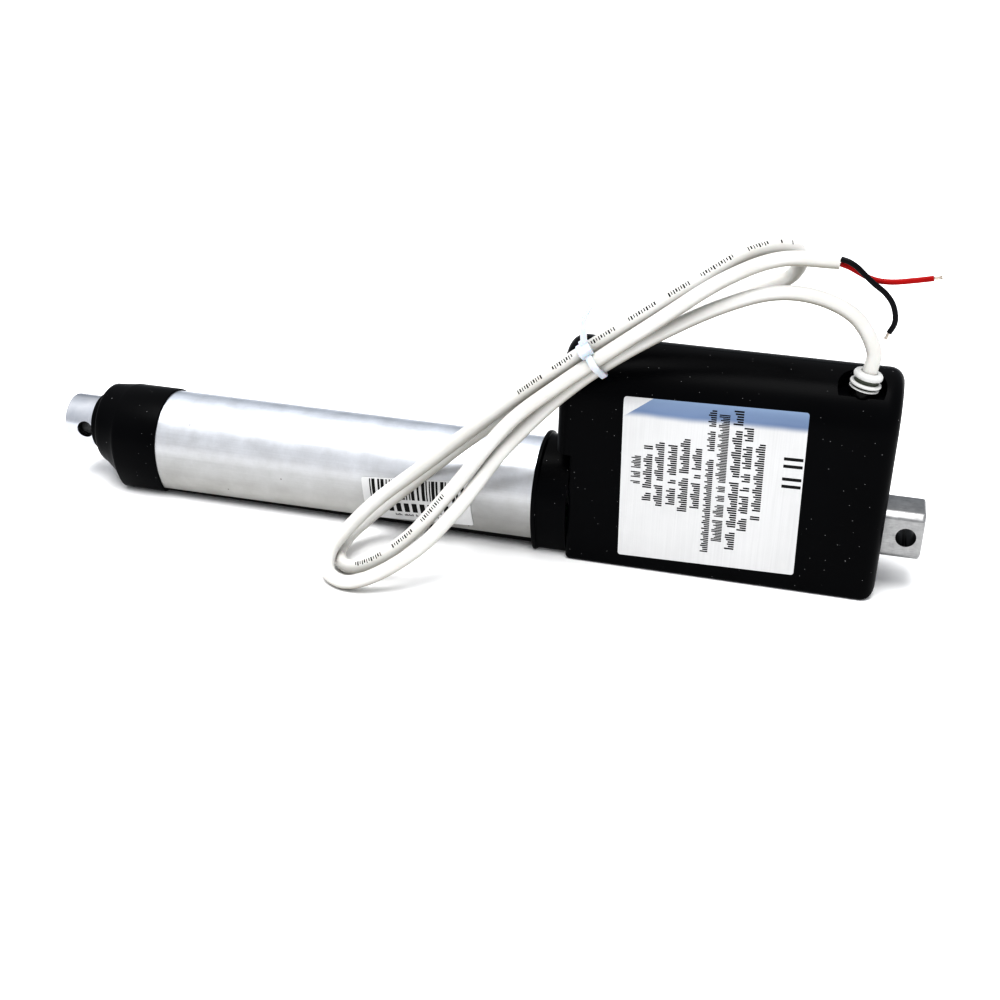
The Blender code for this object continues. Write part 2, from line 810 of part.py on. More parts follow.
def make_gear_train():
    """Motor pinion to reduction wheel, then reduction pinion to the spindle gear."""
    down = -math.pi / 2
    up = math.pi / 2
    pinion = gear(
        "motor_pinion", PINION_TEETH, STAGE1_MODULE, down, MOTOR_Z, STAGE1_X, 1.56 * MM, BRASS
    )
    shaft = cylinder(
        "motor_shaft", 1.5 * MM, 98 * MM, 112 * MM, "X", (0, MOTOR_Z), STEEL, sides=16
    )
    ride_on(empty("motor_line", (109 * MM, 0, MOTOR_Z)), pinion, shaft)
    wheel = gear(
        "reduction_wheel",
        WHEEL_TEETH,
        STAGE1_MODULE,
        up + math.pi / WHEEL_TEETH,
        REDUCTION_Z,
        STAGE1_X,
        1.6 * MM,
        NYLON,
    )
    small = gear(
        "reduction_pinion",
        SMALL_TEETH,
        STAGE2_MODULE,
        down,
        REDUCTION_Z,
        (STAGE1_X[1] + 0.3 * MM, STAGE2_X[1]),
        1.6 * MM,
        NYLON,
    )
    ride_on(empty("reduction_line", (112 * MM, 0, REDUCTION_Z)), wheel, small)
    cylinder(
        "reduction_shaft",
        1.5 * MM,
        PLATE_X0 + 0.4 * MM,
        CARRIER_X[0] + 3 * MM,
        "X",
        (0, REDUCTION_Z),
        STEEL,
        sides=16,
    )
    return gear(
        "spindle_gear",
        SPINDLE_TEETH,
        STAGE2_MODULE,
        up + math.pi / SPINDLE_TEETH,
        AXIS_Z,
        STAGE2_X,
        JOURNAL_R + 0.06 * MM,
        NYLON,
    )


def make_spindle(spindle_gear):
    """The lead screw on its bearing; the thread is left off."""
    profile = (
        (0.0, -SCREW_FRONT_X),
        (SCREW_R - 0.8 * MM, -SCREW_FRONT_X),
        (SCREW_R, -SCREW_FRONT_X - 0.8 * MM),
        (SCREW_R, -JOURNAL_X),
        (JOURNAL_R, -JOURNAL_X),
        (JOURNAL_R, -SCREW_REAR_X),
        (0.0, -SCREW_REAR_X),
    )
    place = Matrix.Translation((0, 0, AXIS_Z)) @ Matrix.Rotation(-math.pi / 2, 4, "Y")
    screw = turned("lead_screw", profile, place, STEEL, sides=28, closed=False)
    low, high = CARRIER_X[0] + 0.4 * MM, CARRIER_X[1] - 0.4 * MM
    inner = ring("bearing_inner_race", JOURNAL_R + 0.06 * MM, 5.3 * MM, low, high, STEEL)
    clip = ring(
        "spindle_clip", JOURNAL_R + 0.06 * MM, 5.0 * MM, high + 0.4 * MM, high + 1.4 * MM, STEEL
    )
    ride_on(empty("spindle_line", (114 * MM, 0, AXIS_Z)), screw, inner, clip, spindle_gear)
    ring("bearing_outer_race", 7.4 * MM, BEARING_R, low, high, STEEL)


def make_frames():
    """The plate behind the motor, and the carrier that holds the spindle bearing."""
    inset = HOUSING_WALL + 0.3 * MM
    extrusion(
        "gearbox_plate",
        [
            housing_outline(inset),
            arc((0, MOTOR_Z), 5.3 * MM, 0, 2 * math.pi, 20)[:-1],
            arc((0, REDUCTION_Z), 1.56 * MM, 0, 2 * math.pi, 12)[:-1],
            arc((0, AXIS_Z), 6.2 * MM, 0, 2 * math.pi, 20)[:-1],
        ],
        PLATE_X0,
        PLATE_X1,
        STEEL,
    )
    half = HOUSING_HALF - inset
    corners = [(half, 2.6 * MM), (half, 50 * MM), (-half, 50 * MM), (-half, 2.6 * MM)]
    extrusion(
        "bearing_carrier",
        [
            corners,
            arc((0, REDUCTION_Z), 1.56 * MM, 0, 2 * math.pi, 12)[:-1],
            arc((0, AXIS_Z), BEARING_R + 0.08 * MM, 0, 2 * math.pi, 32)[:-1],
        ],
        *CARRIER_X,
        CAST,
    )


def make_motor():
    can = cylinder(
        "motor_can", MOTOR_R, MOTOR_X0, MOTOR_X1, "X", (0, MOTOR_Z), STEEL, sides=40, edge=1 * MM
    )
    boss = cylinder(
        "motor_boss", 5 * MM, MOTOR_X1 - 2 * MM, PLATE_X1 - 0.4 * MM, "X", (0, MOTOR_Z), sides=24
    )
    bore = cylinder("motor_bore", 1.6 * MM, 97.5 * MM, 110 * MM, "X", (0, MOTOR_Z), sides=16)
    boolean(can, "UNION", boss)
    cut(can, bore)
    cylinder(
        "motor_end_cap",
        MOTOR_R - 1.2 * MM,
        MOTOR_X0 - 2.6 * MM,
        MOTOR_X0 - 0.3 * MM,
        "X",
        (0, MOTOR_Z),
        BLACK,
        sides=32,
        edge=0.5 * MM,
    )
    for index, side in enumerate((-1, 1)):
        box(
            f"motor_terminal_{index + 1}",
            (44.5 * MM, side * 7 * MM - 1.6 * MM, 65.6 * MM),
            (MOTOR_X0 - 2.9 * MM, side * 7 * MM + 1.6 * MM, 66.2 * MM),
            BRASS,
        )


def make_limit_switches():
    """A long circuit board under the rod with a switch for each end of the stroke."""
    box(
        "limit_switch_board", (-118 * MM, -6 * MM, 3.2 * MM), (100 * MM, 6 * MM, 4.4 * MM), BOARD
    )
    for name, x in (("limit_switch_extended", -109 * MM), ("limit_switch_retracted", 91 * MM)):
        body = box(
            name,
            (x - 6 * MM, -3 * MM, 4.7 * MM),
            (x + 6 * MM, 3 * MM, 8.9 * MM),
            BLACK,
            edge=0.3 * MM,
        )
        button = box(
            f"{name}_button",
            (x - 1.2 * MM, -1.2 * MM, 8.5 * MM),
            (x + 1.2 * MM, 1.2 * MM, 9.8 * MM),
        )
        boolean(body, "UNION", button)


def make_rear_block():
    """The square rear mounting bar, cross-drilled, and the pin that keeps it in the housing."""
    half_y, half_z = BLOCK_WIDTH / 2, BLOCK_HEIGHT / 2
    near_y, near_z = half_y - BLOCK_CHAMFER, half_z - BLOCK_CHAMFER
    outline = [
        (half_y, near_z),
        (near_y, half_z),
        (-near_y, half_z),
        (-half_y, near_z),
        (-half_y, -near_z),
        (-near_y, -half_z),
        (near_y, -half_z),
        (half_y, -near_z),
    ]
    outline = [(y, z + AXIS_Z) for y, z in outline]
    block = extrusion("rear_mount_block", [outline], BLOCK_FRONT_X, BLOCK_END_X, ALLOY)
    ends = block.modifiers.new("ends", "BEVEL")
    ends.width = 0.8 * MM
    ends.segments = 2
    ends.limit_method = "ANGLE"
    ends.angle_limit = math.radians(60)
    hole_x = BLOCK_END_X - REAR_HOLE_INSET
    hole = cylinder(
        "block_hole", MOUNT_HOLE_R + 0.2 * MM, -20 * MM, 20 * MM, "Y", (hole_x, AXIS_Z), sides=28
    )
    pin_hole = cylinder(
        "block_pin_hole",
        CROSS_PIN_R + 0.12 * MM,
        -20 * MM,
        20 * MM,
        "Y",
        (CROSS_PIN_X, AXIS_Z),
        sides=16,
    )
    sinks = []
    for side in (-1, 1):
        profile = ((0.0, 2 * MM), (5.4 * MM, 2 * MM), (3.0 * MM, -0.4 * MM), (0.0, -0.4 * MM))
        place = Matrix.Translation((hole_x, side * half_y, AXIS_Z)) @ Matrix.Rotation(
            -side * math.pi / 2, 4, "X"
        )
        sinks.append(turned(f"block_sink_{side}", profile, place, sides=28, closed=False))
    cut(block, hole, pin_hole, *sinks)
    cylinder(
        "mount_cross_pin",
        CROSS_PIN_R,
        -15.8 * MM,
        15.8 * MM,
        "Y",
        (CROSS_PIN_X, AXIS_Z),
        STEEL,
        sides=16,
    )


def make_seals():
    ring("guide_bush", ROD_R + 0.08 * MM, 12.05 * MM, -146 * MM, -128 * MM, NYLON, sides=48)
    ring("rod_wiper", ROD_R + 0.08 * MM, 10.9 * MM, -151.0 * MM, -148.2 * MM, RUBBER, sides=48)


def gland_place():
    """The gland's own axes: Z leans towards +X."""
    return Matrix.Translation(GLAND_AT) @ Matrix.Rotation(GLAND_LEAN, 4, "Y")


def make_gland():
    """A ringed strain relief, open down its middle for the cable."""
    bore = CABLE_R + 0.3 * MM
    profile = (
        (3.3 * MM, 7.3 * MM),
        (4.5 * MM, 7.0 * MM),
        (4.9 * MM, 6.3 * MM),
        (4.9 * MM, 5.2 * MM),
        (4.3 * MM, 4.6 * MM),
        (4.3 * MM, 4.0 * MM),
        (5.1 * MM, 3.6 * MM),
        (5.3 * MM, 2.8 * MM),
        (5.2 * MM, 1.7 * MM),
        (4.7 * MM, 1.1 * MM),
        (4.7 * MM, 0.4 * MM),
        (3.1 * MM, 0.4 * MM),
        (3.1 * MM, -2.0 * MM),
        (bore, -2.0 * MM),
        (bore, 7.3 * MM),
    )
    turned("cable_gland", profile, gland_place(), WHITE, sides=28)


def smooth_route(points, parts=12):
    """A smooth curve through points in millimetres, as a close run of points in metres."""
    given = [Vector(point) * MM for point in points]
    given = [2 * given[0] - given[1], *given, 2 * given[-1] - given[-2]]
    found = []
    for a, b, c, d in zip(given, given[1:], given[2:], given[3:]):
        ta = 0.0
        tb = ta + math.sqrt((b - a).length)
        tc = tb + math.sqrt((c - b).length)
        td = tc + math.sqrt((d - c).length)
        for part in range(parts):
            t = tb + (tc - tb) * part / parts
            ab = a.lerp(b, (t - ta) / (tb - ta))
            bc = b.lerp(c, (t - tb) / (tc - tb))
            cd = c.lerp(d, (t - tc) / (td - tc))
            near = ab.lerp(bc, (t - ta) / (tc - ta))
            far = bc.lerp(cd, (t - tb) / (td - tb))
            found.append(near.lerp(far, (t - tb) / (tc - tb)))
    return [*found, given[-2]]


def thinned(points, step, turn):
    """Every point where a line has run for step or turned by turn since the last one kept."""
    kept = [points[0]]
    heading = points[1] - points[0]
    run = 0.0
    for before, point, after in zip(points, points[1:], points[2:]):
        run += (point - before).length
        if run >= step or heading.angle(after - point) >= turn:
            kept.append(point)
            heading = after - point
            run = 0.0
    return [*kept, points[-1]]


def cord(name, points, radius, look, roundness):
    curve = bpy.data.curves.new(name, "CURVE")
    curve.dimensions = "3D"
    curve.bevel_depth = radius
    curve.bevel_resolution = roundness
    curve.use_fill_caps = True
    spline = curve.splines.new("POLY")
    spline.points.add(len(points) - 1)
    for target, point in zip(spline.points, points):
        target.co = (*point, 1.0)
    add_object(name, curve, look)


def make_wire(name, route, look):
    """An insulated wire and the short bare end beyond it."""
    points = smooth_route(route, 6)
    cord(name, thinned(points, 4 * MM, math.radians(15)), WIRE_R, look, 2)
    out = (points[-1] - points[-2]).normalized()
    tip = points[-1] + out * 0.3 * MM
    cord(f"{name}_tip", [tip, tip + out * STRAND_LENGTH], STRAND_R, COPPER, 2)


def belt_outline(centres, radius):
    """A belt's line round equal discs, whose centres are given in order round them."""
    outline = []
    count = len(centres)
    for index, centre in enumerate(centres):
        into = centre - centres[index - 1]
        away = centres[(index + 1) % count] - centre
        start = math.atan2(into.y, into.x) - math.pi / 2
        end = math.atan2(away.y, away.x) - math.pi / 2
        outline += arc(centre, radius, start, start + (end - start) % (2 * math.pi), 4)
    return outline


def make_cable_and_tie():
    route = thinned(smooth_route(CABLE_ROUTE), 14 * MM, math.radians(17))
    cord("cable", route, CABLE_R, WHITE, 3)
    place = tie_place()
    middle = place.translation
    across, out, along = (place.to_3x3() @ Vector(axis) for axis in ((1, 0, 0), (0, 1, 0), (0, 0, 1)))
    strands = []
    for before, after in zip(route, route[1:]):
        behind = (before - middle).dot(along)
        ahead = (after - middle).dot(along)
        if behind * ahead < 0 and (before - middle).length < 25 * MM:
            at = before.lerp(after, behind / (behind - ahead)) - middle
            strands.append(Vector((at.dot(across), at.dot(out))))
    strands.sort(key=lambda strand: math.atan2(strand.y, strand.x))
    half = TIE_WIDTH / 2
    inner = belt_outline(strands, CABLE_R + TIE_GAP)
    outer = belt_outline(strands, CABLE_R + TIE_GAP + TIE_THICK)
    corners = ((inner, half), (outer, half), (outer, -half), (inner, -half))
    rings = [[place @ Vector((u, v, w)) for u, v in line] for line, w in corners]
    tie = loft("cable_tie", rings, NYLON, closed=True)
    top = max(v for u, v in outer)
    boolean(tie, "UNION", tie_head(place, top), tie_tail(place, top))


def tie_place():
    """The tie's own axes: X across the bundle, Y outwards through its head, Z along it."""
    along = Vector(TIE_ALONG).normalized()
    out = Vector(TIE_OUT)
    out = (out - along * out.dot(along)).normalized()
    place = Matrix((along.cross(out), out, along)).transposed().to_4x4()
    place.translation = Vector(TIE_AT) * MM
    return place


def tie_head(place, top):
    """The ratchet head, seated on the strap's outer face."""
    wide, tall, long = TIE_HEAD
    head = box(
        "tie_head",
        (TIE_HEAD_ACROSS - wide / 2, top - 1.2 * MM, -long / 2),
        (TIE_HEAD_ACROSS + wide / 2, top - 1.2 * MM + tall, long / 2),
        edge=0.4 * MM,
    )
    head.matrix_world = place @ head.matrix_world
    return head


def tie_tail(place, top):
    """The strap's free end, from inside the head upwards, drawn in to its tip."""
    start = place @ Vector((TIE_HEAD_ACROSS, top + 0.6 * MM, 0))
    along = place.to_3x3() @ Vector((0, 0, 1))
    centres = [start + Vector(point) * MM for point in TIE_TAIL]
    rings = []
    for index, centre in enumerate(centres):
        before = centres[max(index - 1, 0)]
        after = centres[min(index + 1, len(centres) - 1)]
        heading = (after - before).normalized()
        side = (along - heading * along.dot(heading)).normalized()
        side *= TIE_WIDTH / 2 * (1.0 - 0.08 * index)
        face = heading.cross(side).normalized() * TIE_TAIL_THICK / 2
        low, high = centre - side, centre + side
        rings.append([low - face, low + face, high + face, high - face])
    return loft("tie_tail", rings, None)


def housing_skin(x, reach, proud):
    """A point on the housing's -Y side, reach measured up the skin from the floor."""
    if reach <= CROWN_Z:
        return (x, -HOUSING_HALF - proud, reach)
    turn = (reach - CROWN_Z) / HOUSING_HALF
    radius = HOUSING_HALF + proud
    return (x, -radius * math.cos(turn), CROWN_Z + radius * math.sin(turn))


def tube_skin(x, reach, proud):
    """A point on the tube's -Y side, reach measured up the skin from its widest line."""
    if reach >= 0:
        turn = reach / TUBE_R
        radius = TUBE_R + proud
        return (x, -radius * math.cos(turn), TUBE_CENTRE_Z + radius * math.sin(turn))
    turn = -reach / TUBE_SIDE_R
    radius = TUBE_SIDE_R + proud
    return (
        x,
        -(TUBE_R - TUBE_SIDE_R + radius * math.cos(turn)),
        TUBE_CENTRE_Z - radius * math.sin(turn),
    )


def sticker(name, size, corner, centre, turn, skin, look, step):
    """A thin rounded rectangle bent onto a skin, with a row of faces every step up it."""
    half_w, half_h = size[0] / 2 - corner, size[1] / 2 - corner
    outline = []
    corners = ((half_w, half_h), (-half_w, half_h), (-half_w, -half_h), (half_w, -half_h))
    for index, place in enumerate(corners):
        outline += arc(place, corner, index * math.pi / 2, (index + 1) * math.pi / 2, 3)
    bm = bmesh.new()
    spin = Matrix.Rotation(turn, 3, "Z")
    shift = Vector((*centre, 0))
    bm.faces.new([bm.verts.new(spin @ Vector((u, v, 0)) + shift) for u, v in outline])
    lowest = min(vert.co.y for vert in bm.verts)
    highest = max(vert.co.y for vert in bm.verts)
    rows = int((highest - lowest) / step)
    for row in range(1, rows + 1):
        bmesh.ops.bisect_plane(
            bm,
            geom=bm.verts[:] + bm.edges[:] + bm.faces[:],
            plane_co=(0, lowest + row * (highest - lowest) / (rows + 1), 0),
            plane_no=(0, 1, 0),
        )
    for vert in bm.verts:
        vert.co = skin(vert.co.x, vert.co.y, SHEET_GAP)
    bmesh.ops.recalc_face_normals(bm, faces=bm.faces)
    for face in bm.faces:
        if face.normal.y > 0:
            face.normal_flip()
    mesh = bpy.data.meshes.new(name)
    bm.to_mesh(mesh)
    bm.free()
    obj = add_object(name, mesh, look)
    solid = obj.modifiers.new("sheet", "SOLIDIFY")
    solid.thickness = SHEET
    solid.offset = 1.0


def empty(name, at):
    made = bpy.data.objects.new(name, None)
    made.location = at
    made.empty_display_size = 0.01
    PARTS.objects.link(made)
    bpy.context.view_layer.update()
    return made


def ride_on(parent, *children):
    """Parents pieces to an empty on their joint's axis without moving them."""
    for child in children:
        child.parent = parent
        child.matrix_parent_inverse = parent.matrix_world.inverted()


clear_scene()
PARTS = new_collection("linear_actuator")
CUTTERS = new_collection("cutters")
BLACK = material("black_plastic", (0.02, 0.02, 0.024), 0.45)
ALLOY = material("aluminium", (0.72, 0.73, 0.74), 0.35, 1.0)
CHROME = material("rod_alloy", (0.8, 0.8, 0.81), 0.25, 1.0)
STEEL = material("steel", (0.55, 0.56, 0.57), 0.3, 1.0)
CAST = material("cast_alloy", (0.5, 0.5, 0.5), 0.5, 1.0)
BRASS = material("brass", (0.75, 0.58, 0.3), 0.3, 1.0)
NYLON = material("nylon", (0.85, 0.83, 0.76), 0.5)
WHITE = material("white_plastic", (0.85, 0.85, 0.83), 0.4)
RUBBER = material("seal_rubber", (0.03, 0.03, 0.03), 0.7)
BOARD = material("circuit_board", (0.05, 0.3, 0.12), 0.5)
FOIL = material("label_foil", (0.85, 0.86, 0.87), 0.25, 0.6)
PAPER = material("sticker_paper", (0.9, 0.9, 0.9), 0.5)
RED = material("red_insulation", (0.6, 0.03, 0.03), 0.4)
COPPER = material("tinned_copper", (0.75, 0.6, 0.5), 0.35, 1.0)
make_housing()
make_housing_screws()
make_outer_tube()
make_collar()
make_front_cap()
make_seals()
make_rod()
make_spindle(make_gear_train())
make_frames()
make_motor()
make_limit_switches()
make_rear_block()
make_gland()
make_cable_and_tie()
make_wire("red_wire", RED_ROUTE, RED)
make_wire("black_wire", BLACK_ROUTE, BLACK)
sticker(
    "rating_label", LABEL_SIZE, 1.0 * MM, LABEL_CENTRE, LABEL_TURN, housing_skin, FOIL, 2.4 * MM
)
sticker(
    "barcode_sticker",
    STICKER_SIZE,
    0.8 * MM,
    STICKER_CENTRE,
    STICKER_TURN,
    tube_skin,
    PAPER,
    1.6 * MM,
)
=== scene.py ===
"""Looks for the linear actuator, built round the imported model. Metres, +Z up."""

import math

import bmesh
import bpy
from mathutils import Matrix, Vector


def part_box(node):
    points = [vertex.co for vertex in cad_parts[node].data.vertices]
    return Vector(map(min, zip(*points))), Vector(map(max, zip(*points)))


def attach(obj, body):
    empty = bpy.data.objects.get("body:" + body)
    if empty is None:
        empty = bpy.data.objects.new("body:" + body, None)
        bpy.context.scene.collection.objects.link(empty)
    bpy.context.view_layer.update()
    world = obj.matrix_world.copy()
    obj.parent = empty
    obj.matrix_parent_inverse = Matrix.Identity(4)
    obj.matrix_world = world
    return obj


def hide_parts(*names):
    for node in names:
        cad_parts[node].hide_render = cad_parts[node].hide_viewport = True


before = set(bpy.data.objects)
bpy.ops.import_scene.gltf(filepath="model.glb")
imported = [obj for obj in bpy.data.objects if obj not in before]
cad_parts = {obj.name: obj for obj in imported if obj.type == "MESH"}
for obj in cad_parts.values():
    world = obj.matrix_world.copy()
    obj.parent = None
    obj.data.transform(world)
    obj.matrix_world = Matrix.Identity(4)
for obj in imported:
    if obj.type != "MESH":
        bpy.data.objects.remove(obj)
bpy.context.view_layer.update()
MM = 0.001

# Camera: place, heading to the left of +Y, angle down and roll, as the photograph was taken
CAMERA_AT = (126.8 * MM, -454.4 * MM, 244.3 * MM)
CAMERA_HEADING = math.radians(14.24)
CAMERA_DOWN = math.radians(26.49)
CAMERA_ROLL = math.radians(1.33)
CAMERA_LENS = 49.89

# Light: the sky's colour by height, which counts as lower towards the back by up to SKY_BACK,
# the backdrop that is seen in its place, and soft suns given by name, heading round +Z from the
# viewer's side, height, spread and strength
SKY_BACK = 0.6
SKY = (
    (-0.6, (0.46, 0.49, 0.53)),
    (-0.1, (0.70, 0.74, 0.80)),
    (0.06, (1.08, 1.09, 1.12)),
    (0.45, (1.30, 1.32, 1.36)),
    (1.0, (1.90, 1.90, 1.90)),
)
SKY_STRENGTH = 0.8
BACKDROP = (1.25, 1.25, 1.25)
SUNS = (("key", -15.0, 76.0, 36.0, 2.4), ("top", 150.0, 78.0, 50.0, 0.4))
VIEW_GAMMA = 0.76
FLOOR_REACH = 12.0

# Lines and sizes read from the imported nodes
ROD_TIP_X, _, ROD_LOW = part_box("inner_rod")[0]
ROD_INNER_X, _, ROD_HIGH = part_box("inner_rod")[1]
ROD_R = (ROD_HIGH - ROD_LOW) / 2
AXIS_Z = (ROD_HIGH + ROD_LOW) / 2
HOUSING_X0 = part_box("housing_back_shell")[0][0]
HOUSING_X1, HOUSING_HALF, HOUSING_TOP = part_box("housing_back_shell")[1]
CROWN_Z = HOUSING_TOP - HOUSING_HALF
BLOCK_START_X, _, BLOCK_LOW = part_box("rear_mount_block")[0]
BLOCK_END_X, BLOCK_HALF, BLOCK_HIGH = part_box("rear_mount_block")[1]
BLOCK_RISE = (BLOCK_HIGH - BLOCK_LOW) / 2
CAP_FACE_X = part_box("front_cap")[0][0]
CAP_REAR_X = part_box("front_cap")[1][0]
COLLAR_FRONT_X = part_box("tube_collar")[0][0]
COLLAR_REAR_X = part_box("tube_collar")[1][0]

# Mounting holes, and how far the painted shade on their walls reaches
EYE_X = ROD_TIP_X + 8.8 * MM
EYE_R = 3.2 * MM
BLOCK_HOLE_X = BLOCK_END_X - 5.8 * MM
BLOCK_HOLE_R = 3.4 * MM
WALL_SHADE = 0.08 * MM
CROSS_PIN_X = 139.0 * MM
CROSS_PIN_R = 2.12 * MM
CROSS_REACH = 20 * MM

# Outer tube: its profile, its wall, its painted light by height (brighter bands and a darker,
# warmer lower side in place of reflections and shade), and the black strip of painted shadow
# along its foot, whose edge rises by FOOT_SHADOW_RISE along the tube from FOOT_SHADOW_FROM_X
TUBE_R = 18.5 * MM
TUBE_CENTRE_Z = 19.0 * MM
TUBE_SIDE_R = 29.6 * MM
TUBE_SIDE_TURN = math.radians(31.8)
TUBE_BASE_Z = 0.8 * MM
TUBE_WALL = 1.8 * MM
TUBE_PAINTED_LIGHT_TOP = 38.0 * MM
TUBE_PAINTED_LIGHT = (
    (0.12, (0.74, 0.725, 0.68)),
    (0.3, (0.60, 0.59, 0.565)),
    (0.5, (0.66, 0.655, 0.64)),
    (0.68, (1.06, 1.06, 1.06)),
    (0.82, (0.92, 0.93, 0.95)),
    (0.95, (1.20, 1.23, 1.27)),
)
FOOT_SHADOW_EDGE = 3.2 * MM
FOOT_SHADOW_FROM_X = -0.121
FOOT_SHADOW_RISE = 0.0085

# Collar: its lip's length, height above the tube and rounding, and its sleeve's height
LIP_LONG = 1.8 * MM
LIP_PROUD = 2.6 * MM
LIP_SOFT = 0.6 * MM
COLLAR_PROUD = 1.6 * MM
COLLAR_INNER = 0.1 * MM

# Cap: radii of its nose, shoulder, inside and bore, where its body starts, and its stations as
# (millimetres behind the face or the body's start, share of the way to the next form)
NOSE_R = 11.6 * MM
NOSE_SOFT = 1.1 * MM
SHOULDER_R = 15.7 * MM
CAP_INNER_R = 12.4 * MM
CAP_BORE_R = 10.35 * MM
CAP_PROUD = 0.7 * MM
CAP_BODY_X = -139.0 * MM
TO_SHOULDER = ((3.5, 0.06), (3.7, 0.4), (3.9, 0.72), (4.3, 0.9), (4.9, 1.0))
TO_BODY = ((6.4, 0.1), (8.4, 0.3), (10.4, 0.52))
AT_BODY = ((-1.4, 0.72), (-0.7, 0.84), (-0.2, 0.95), (0.5, 1.0))

# Housing: the rounding of its ends, its wall, the gap at its seam, and room round its fittings
HOUSING_END_R = 5.0 * MM
NOTCH_END_R = 1.6 * MM
HOUSING_WALL = 3.0 * MM
SEAM_HALF = 0.12 * MM
FIT_CLEAR = 0.3 * MM
BOSS_WALL = 1.3 * MM
ROD_WAY_R = 13 * MM

# Gland, its pocket, and the screw posts of the back shell
GLAND_AT = Vector((137.1 * MM, -10.0 * MM, 74.2 * MM))
GLAND_LEAN = math.radians(10.0)
GLAND_TOP = 7.3 * MM
GLAND_WAY_R = 4.2 * MM
GLAND_PROFILE = (
    (3.2, 7.3), (3.9, 7.25), (4.5, 7.0), (4.85, 6.5), (4.95, 5.9), (4.85, 5.45), (4.5, 5.15),
    (3.8, 5.05), (3.8, 3.75), (4.9, 3.7), (5.15, 3.55), (5.3, 3.2), (5.25, 2.85), (4.95, 2.6),
    (3.8, 2.5), (3.8, 1.9), (4.8, 1.85), (5.0, 1.7), (5.0, 1.45), (4.8, 1.3), (3.1, 1.25),
    (3.1, -2.0),
)
# Painted shade on the gland: how far out and up it reaches in the grooves, where it turns black on
# the stem, and its tone
GROOVE_REACH = 4.2 * MM
GROOVE_TOP = 5.06 * MM
GROOVE_FOOT = 1.5 * MM
GROOVE_SHADE = (0.085, 0.095, 0.075)
POCKET_AT = (136.8 * MM, -10.4 * MM)
POCKET_R = 8.0 * MM
POCKET_FLOOR_Z = 73.3 * MM
SCREW_POSTS = ((41.8, 50.0), (60.0, 38.0), (96.0, 38.0), (142.5, 6.2), (142.5, 55.0))
HEAD_HOLE_R = 3.1 * MM
SCREW_RECESS = (1.5, 0.32)
SCREW_PROFILE = (
    (0.0, 16.3), (1.2, 16.25), (2.1, 15.95), (2.65, 15.3),
    (2.7, 14.3), (1.5, 14.2), (1.5, -9.0), (0.0, -11.0),
)

# Rod and block: edge roundings, and the rod's hollow core
ROD_CORE_R = 7.0 * MM
ROD_SOFT = 0.7 * MM
BLOCK_CHAMFER = 2.1 * MM
BLOCK_SOFT = 1.3 * MM

# Label and sticker: size, centre and turn on the unrolled skin
LABEL_SIZE = (62.3 * MM, 60.8 * MM)
LABEL_CENTRE = (90.8 * MM, 36.4 * MM)
LABEL_TURN = math.radians(1.4)
STICKER_SIZE = (41.5 * MM, 18.6 * MM)
STICKER_CENTRE = (-15.6 * MM, -4.6 * MM)
STICKER_TURN = math.radians(4.6)
SHEET = 0.22 * MM
SHEET_GAP = 0.12 * MM
INK = 0.02 * MM
SHEET_STEP = 1.0 * MM
STEM_SHARE = 0.31

# The label's rows: place across, foot and length as shares of its size, height and pitch in mm
LABEL_ROWS = (
    (0.084, 0.455, 0.198, 3.3, 1.2), (0.150, 0.373, 0.361, 3.1, 1.64),
    (0.214, 0.319, 0.430, 3.1, 1.64), (0.285, 0.363, 0.365, 3.2, 1.64),
    (0.353, 0.328, 0.448, 3.3, 1.64), (0.421, 0.357, 0.372, 3.2, 1.64),
    (0.491, 0.083, 0.892, 2.7, 1.5), (0.556, 0.161, 0.791, 3.6, 1.2),
    (0.631, 0.118, 0.867, 3.3, 1.75), (0.691, 0.246, 0.647, 3.2, 1.7),
    (0.760, 0.324, 0.468, 3.2, 1.7),
)

# The label's two pairs of bars: place across and up as shares of its size, and their shifts
BARS_ACROSS = 0.943
BARS_UP = (0.577, 0.70)
BARS_SHIFT = (-1.9 * MM, 0.8 * MM)

# The label's painted reflection, a blue-grey band where the foil bends over the top: the heights
# where it sets in and fades, its slope and waviness, and the line
# x = z * REFLECTION_CORNER[0] + REFLECTION_CORNER[1] where it starts
REFLECTION_FROM = (58.6 * MM, 61.6 * MM)
REFLECTION_FADE = (60.0 * MM, 67.0 * MM)
REFLECTION_SLOPE = (0.06, -0.02)
REFLECTION_WAVE = 2.2 * MM
REFLECTION_CORNER = (1.35, (60.8 - 1.35 * 60.2) * MM)

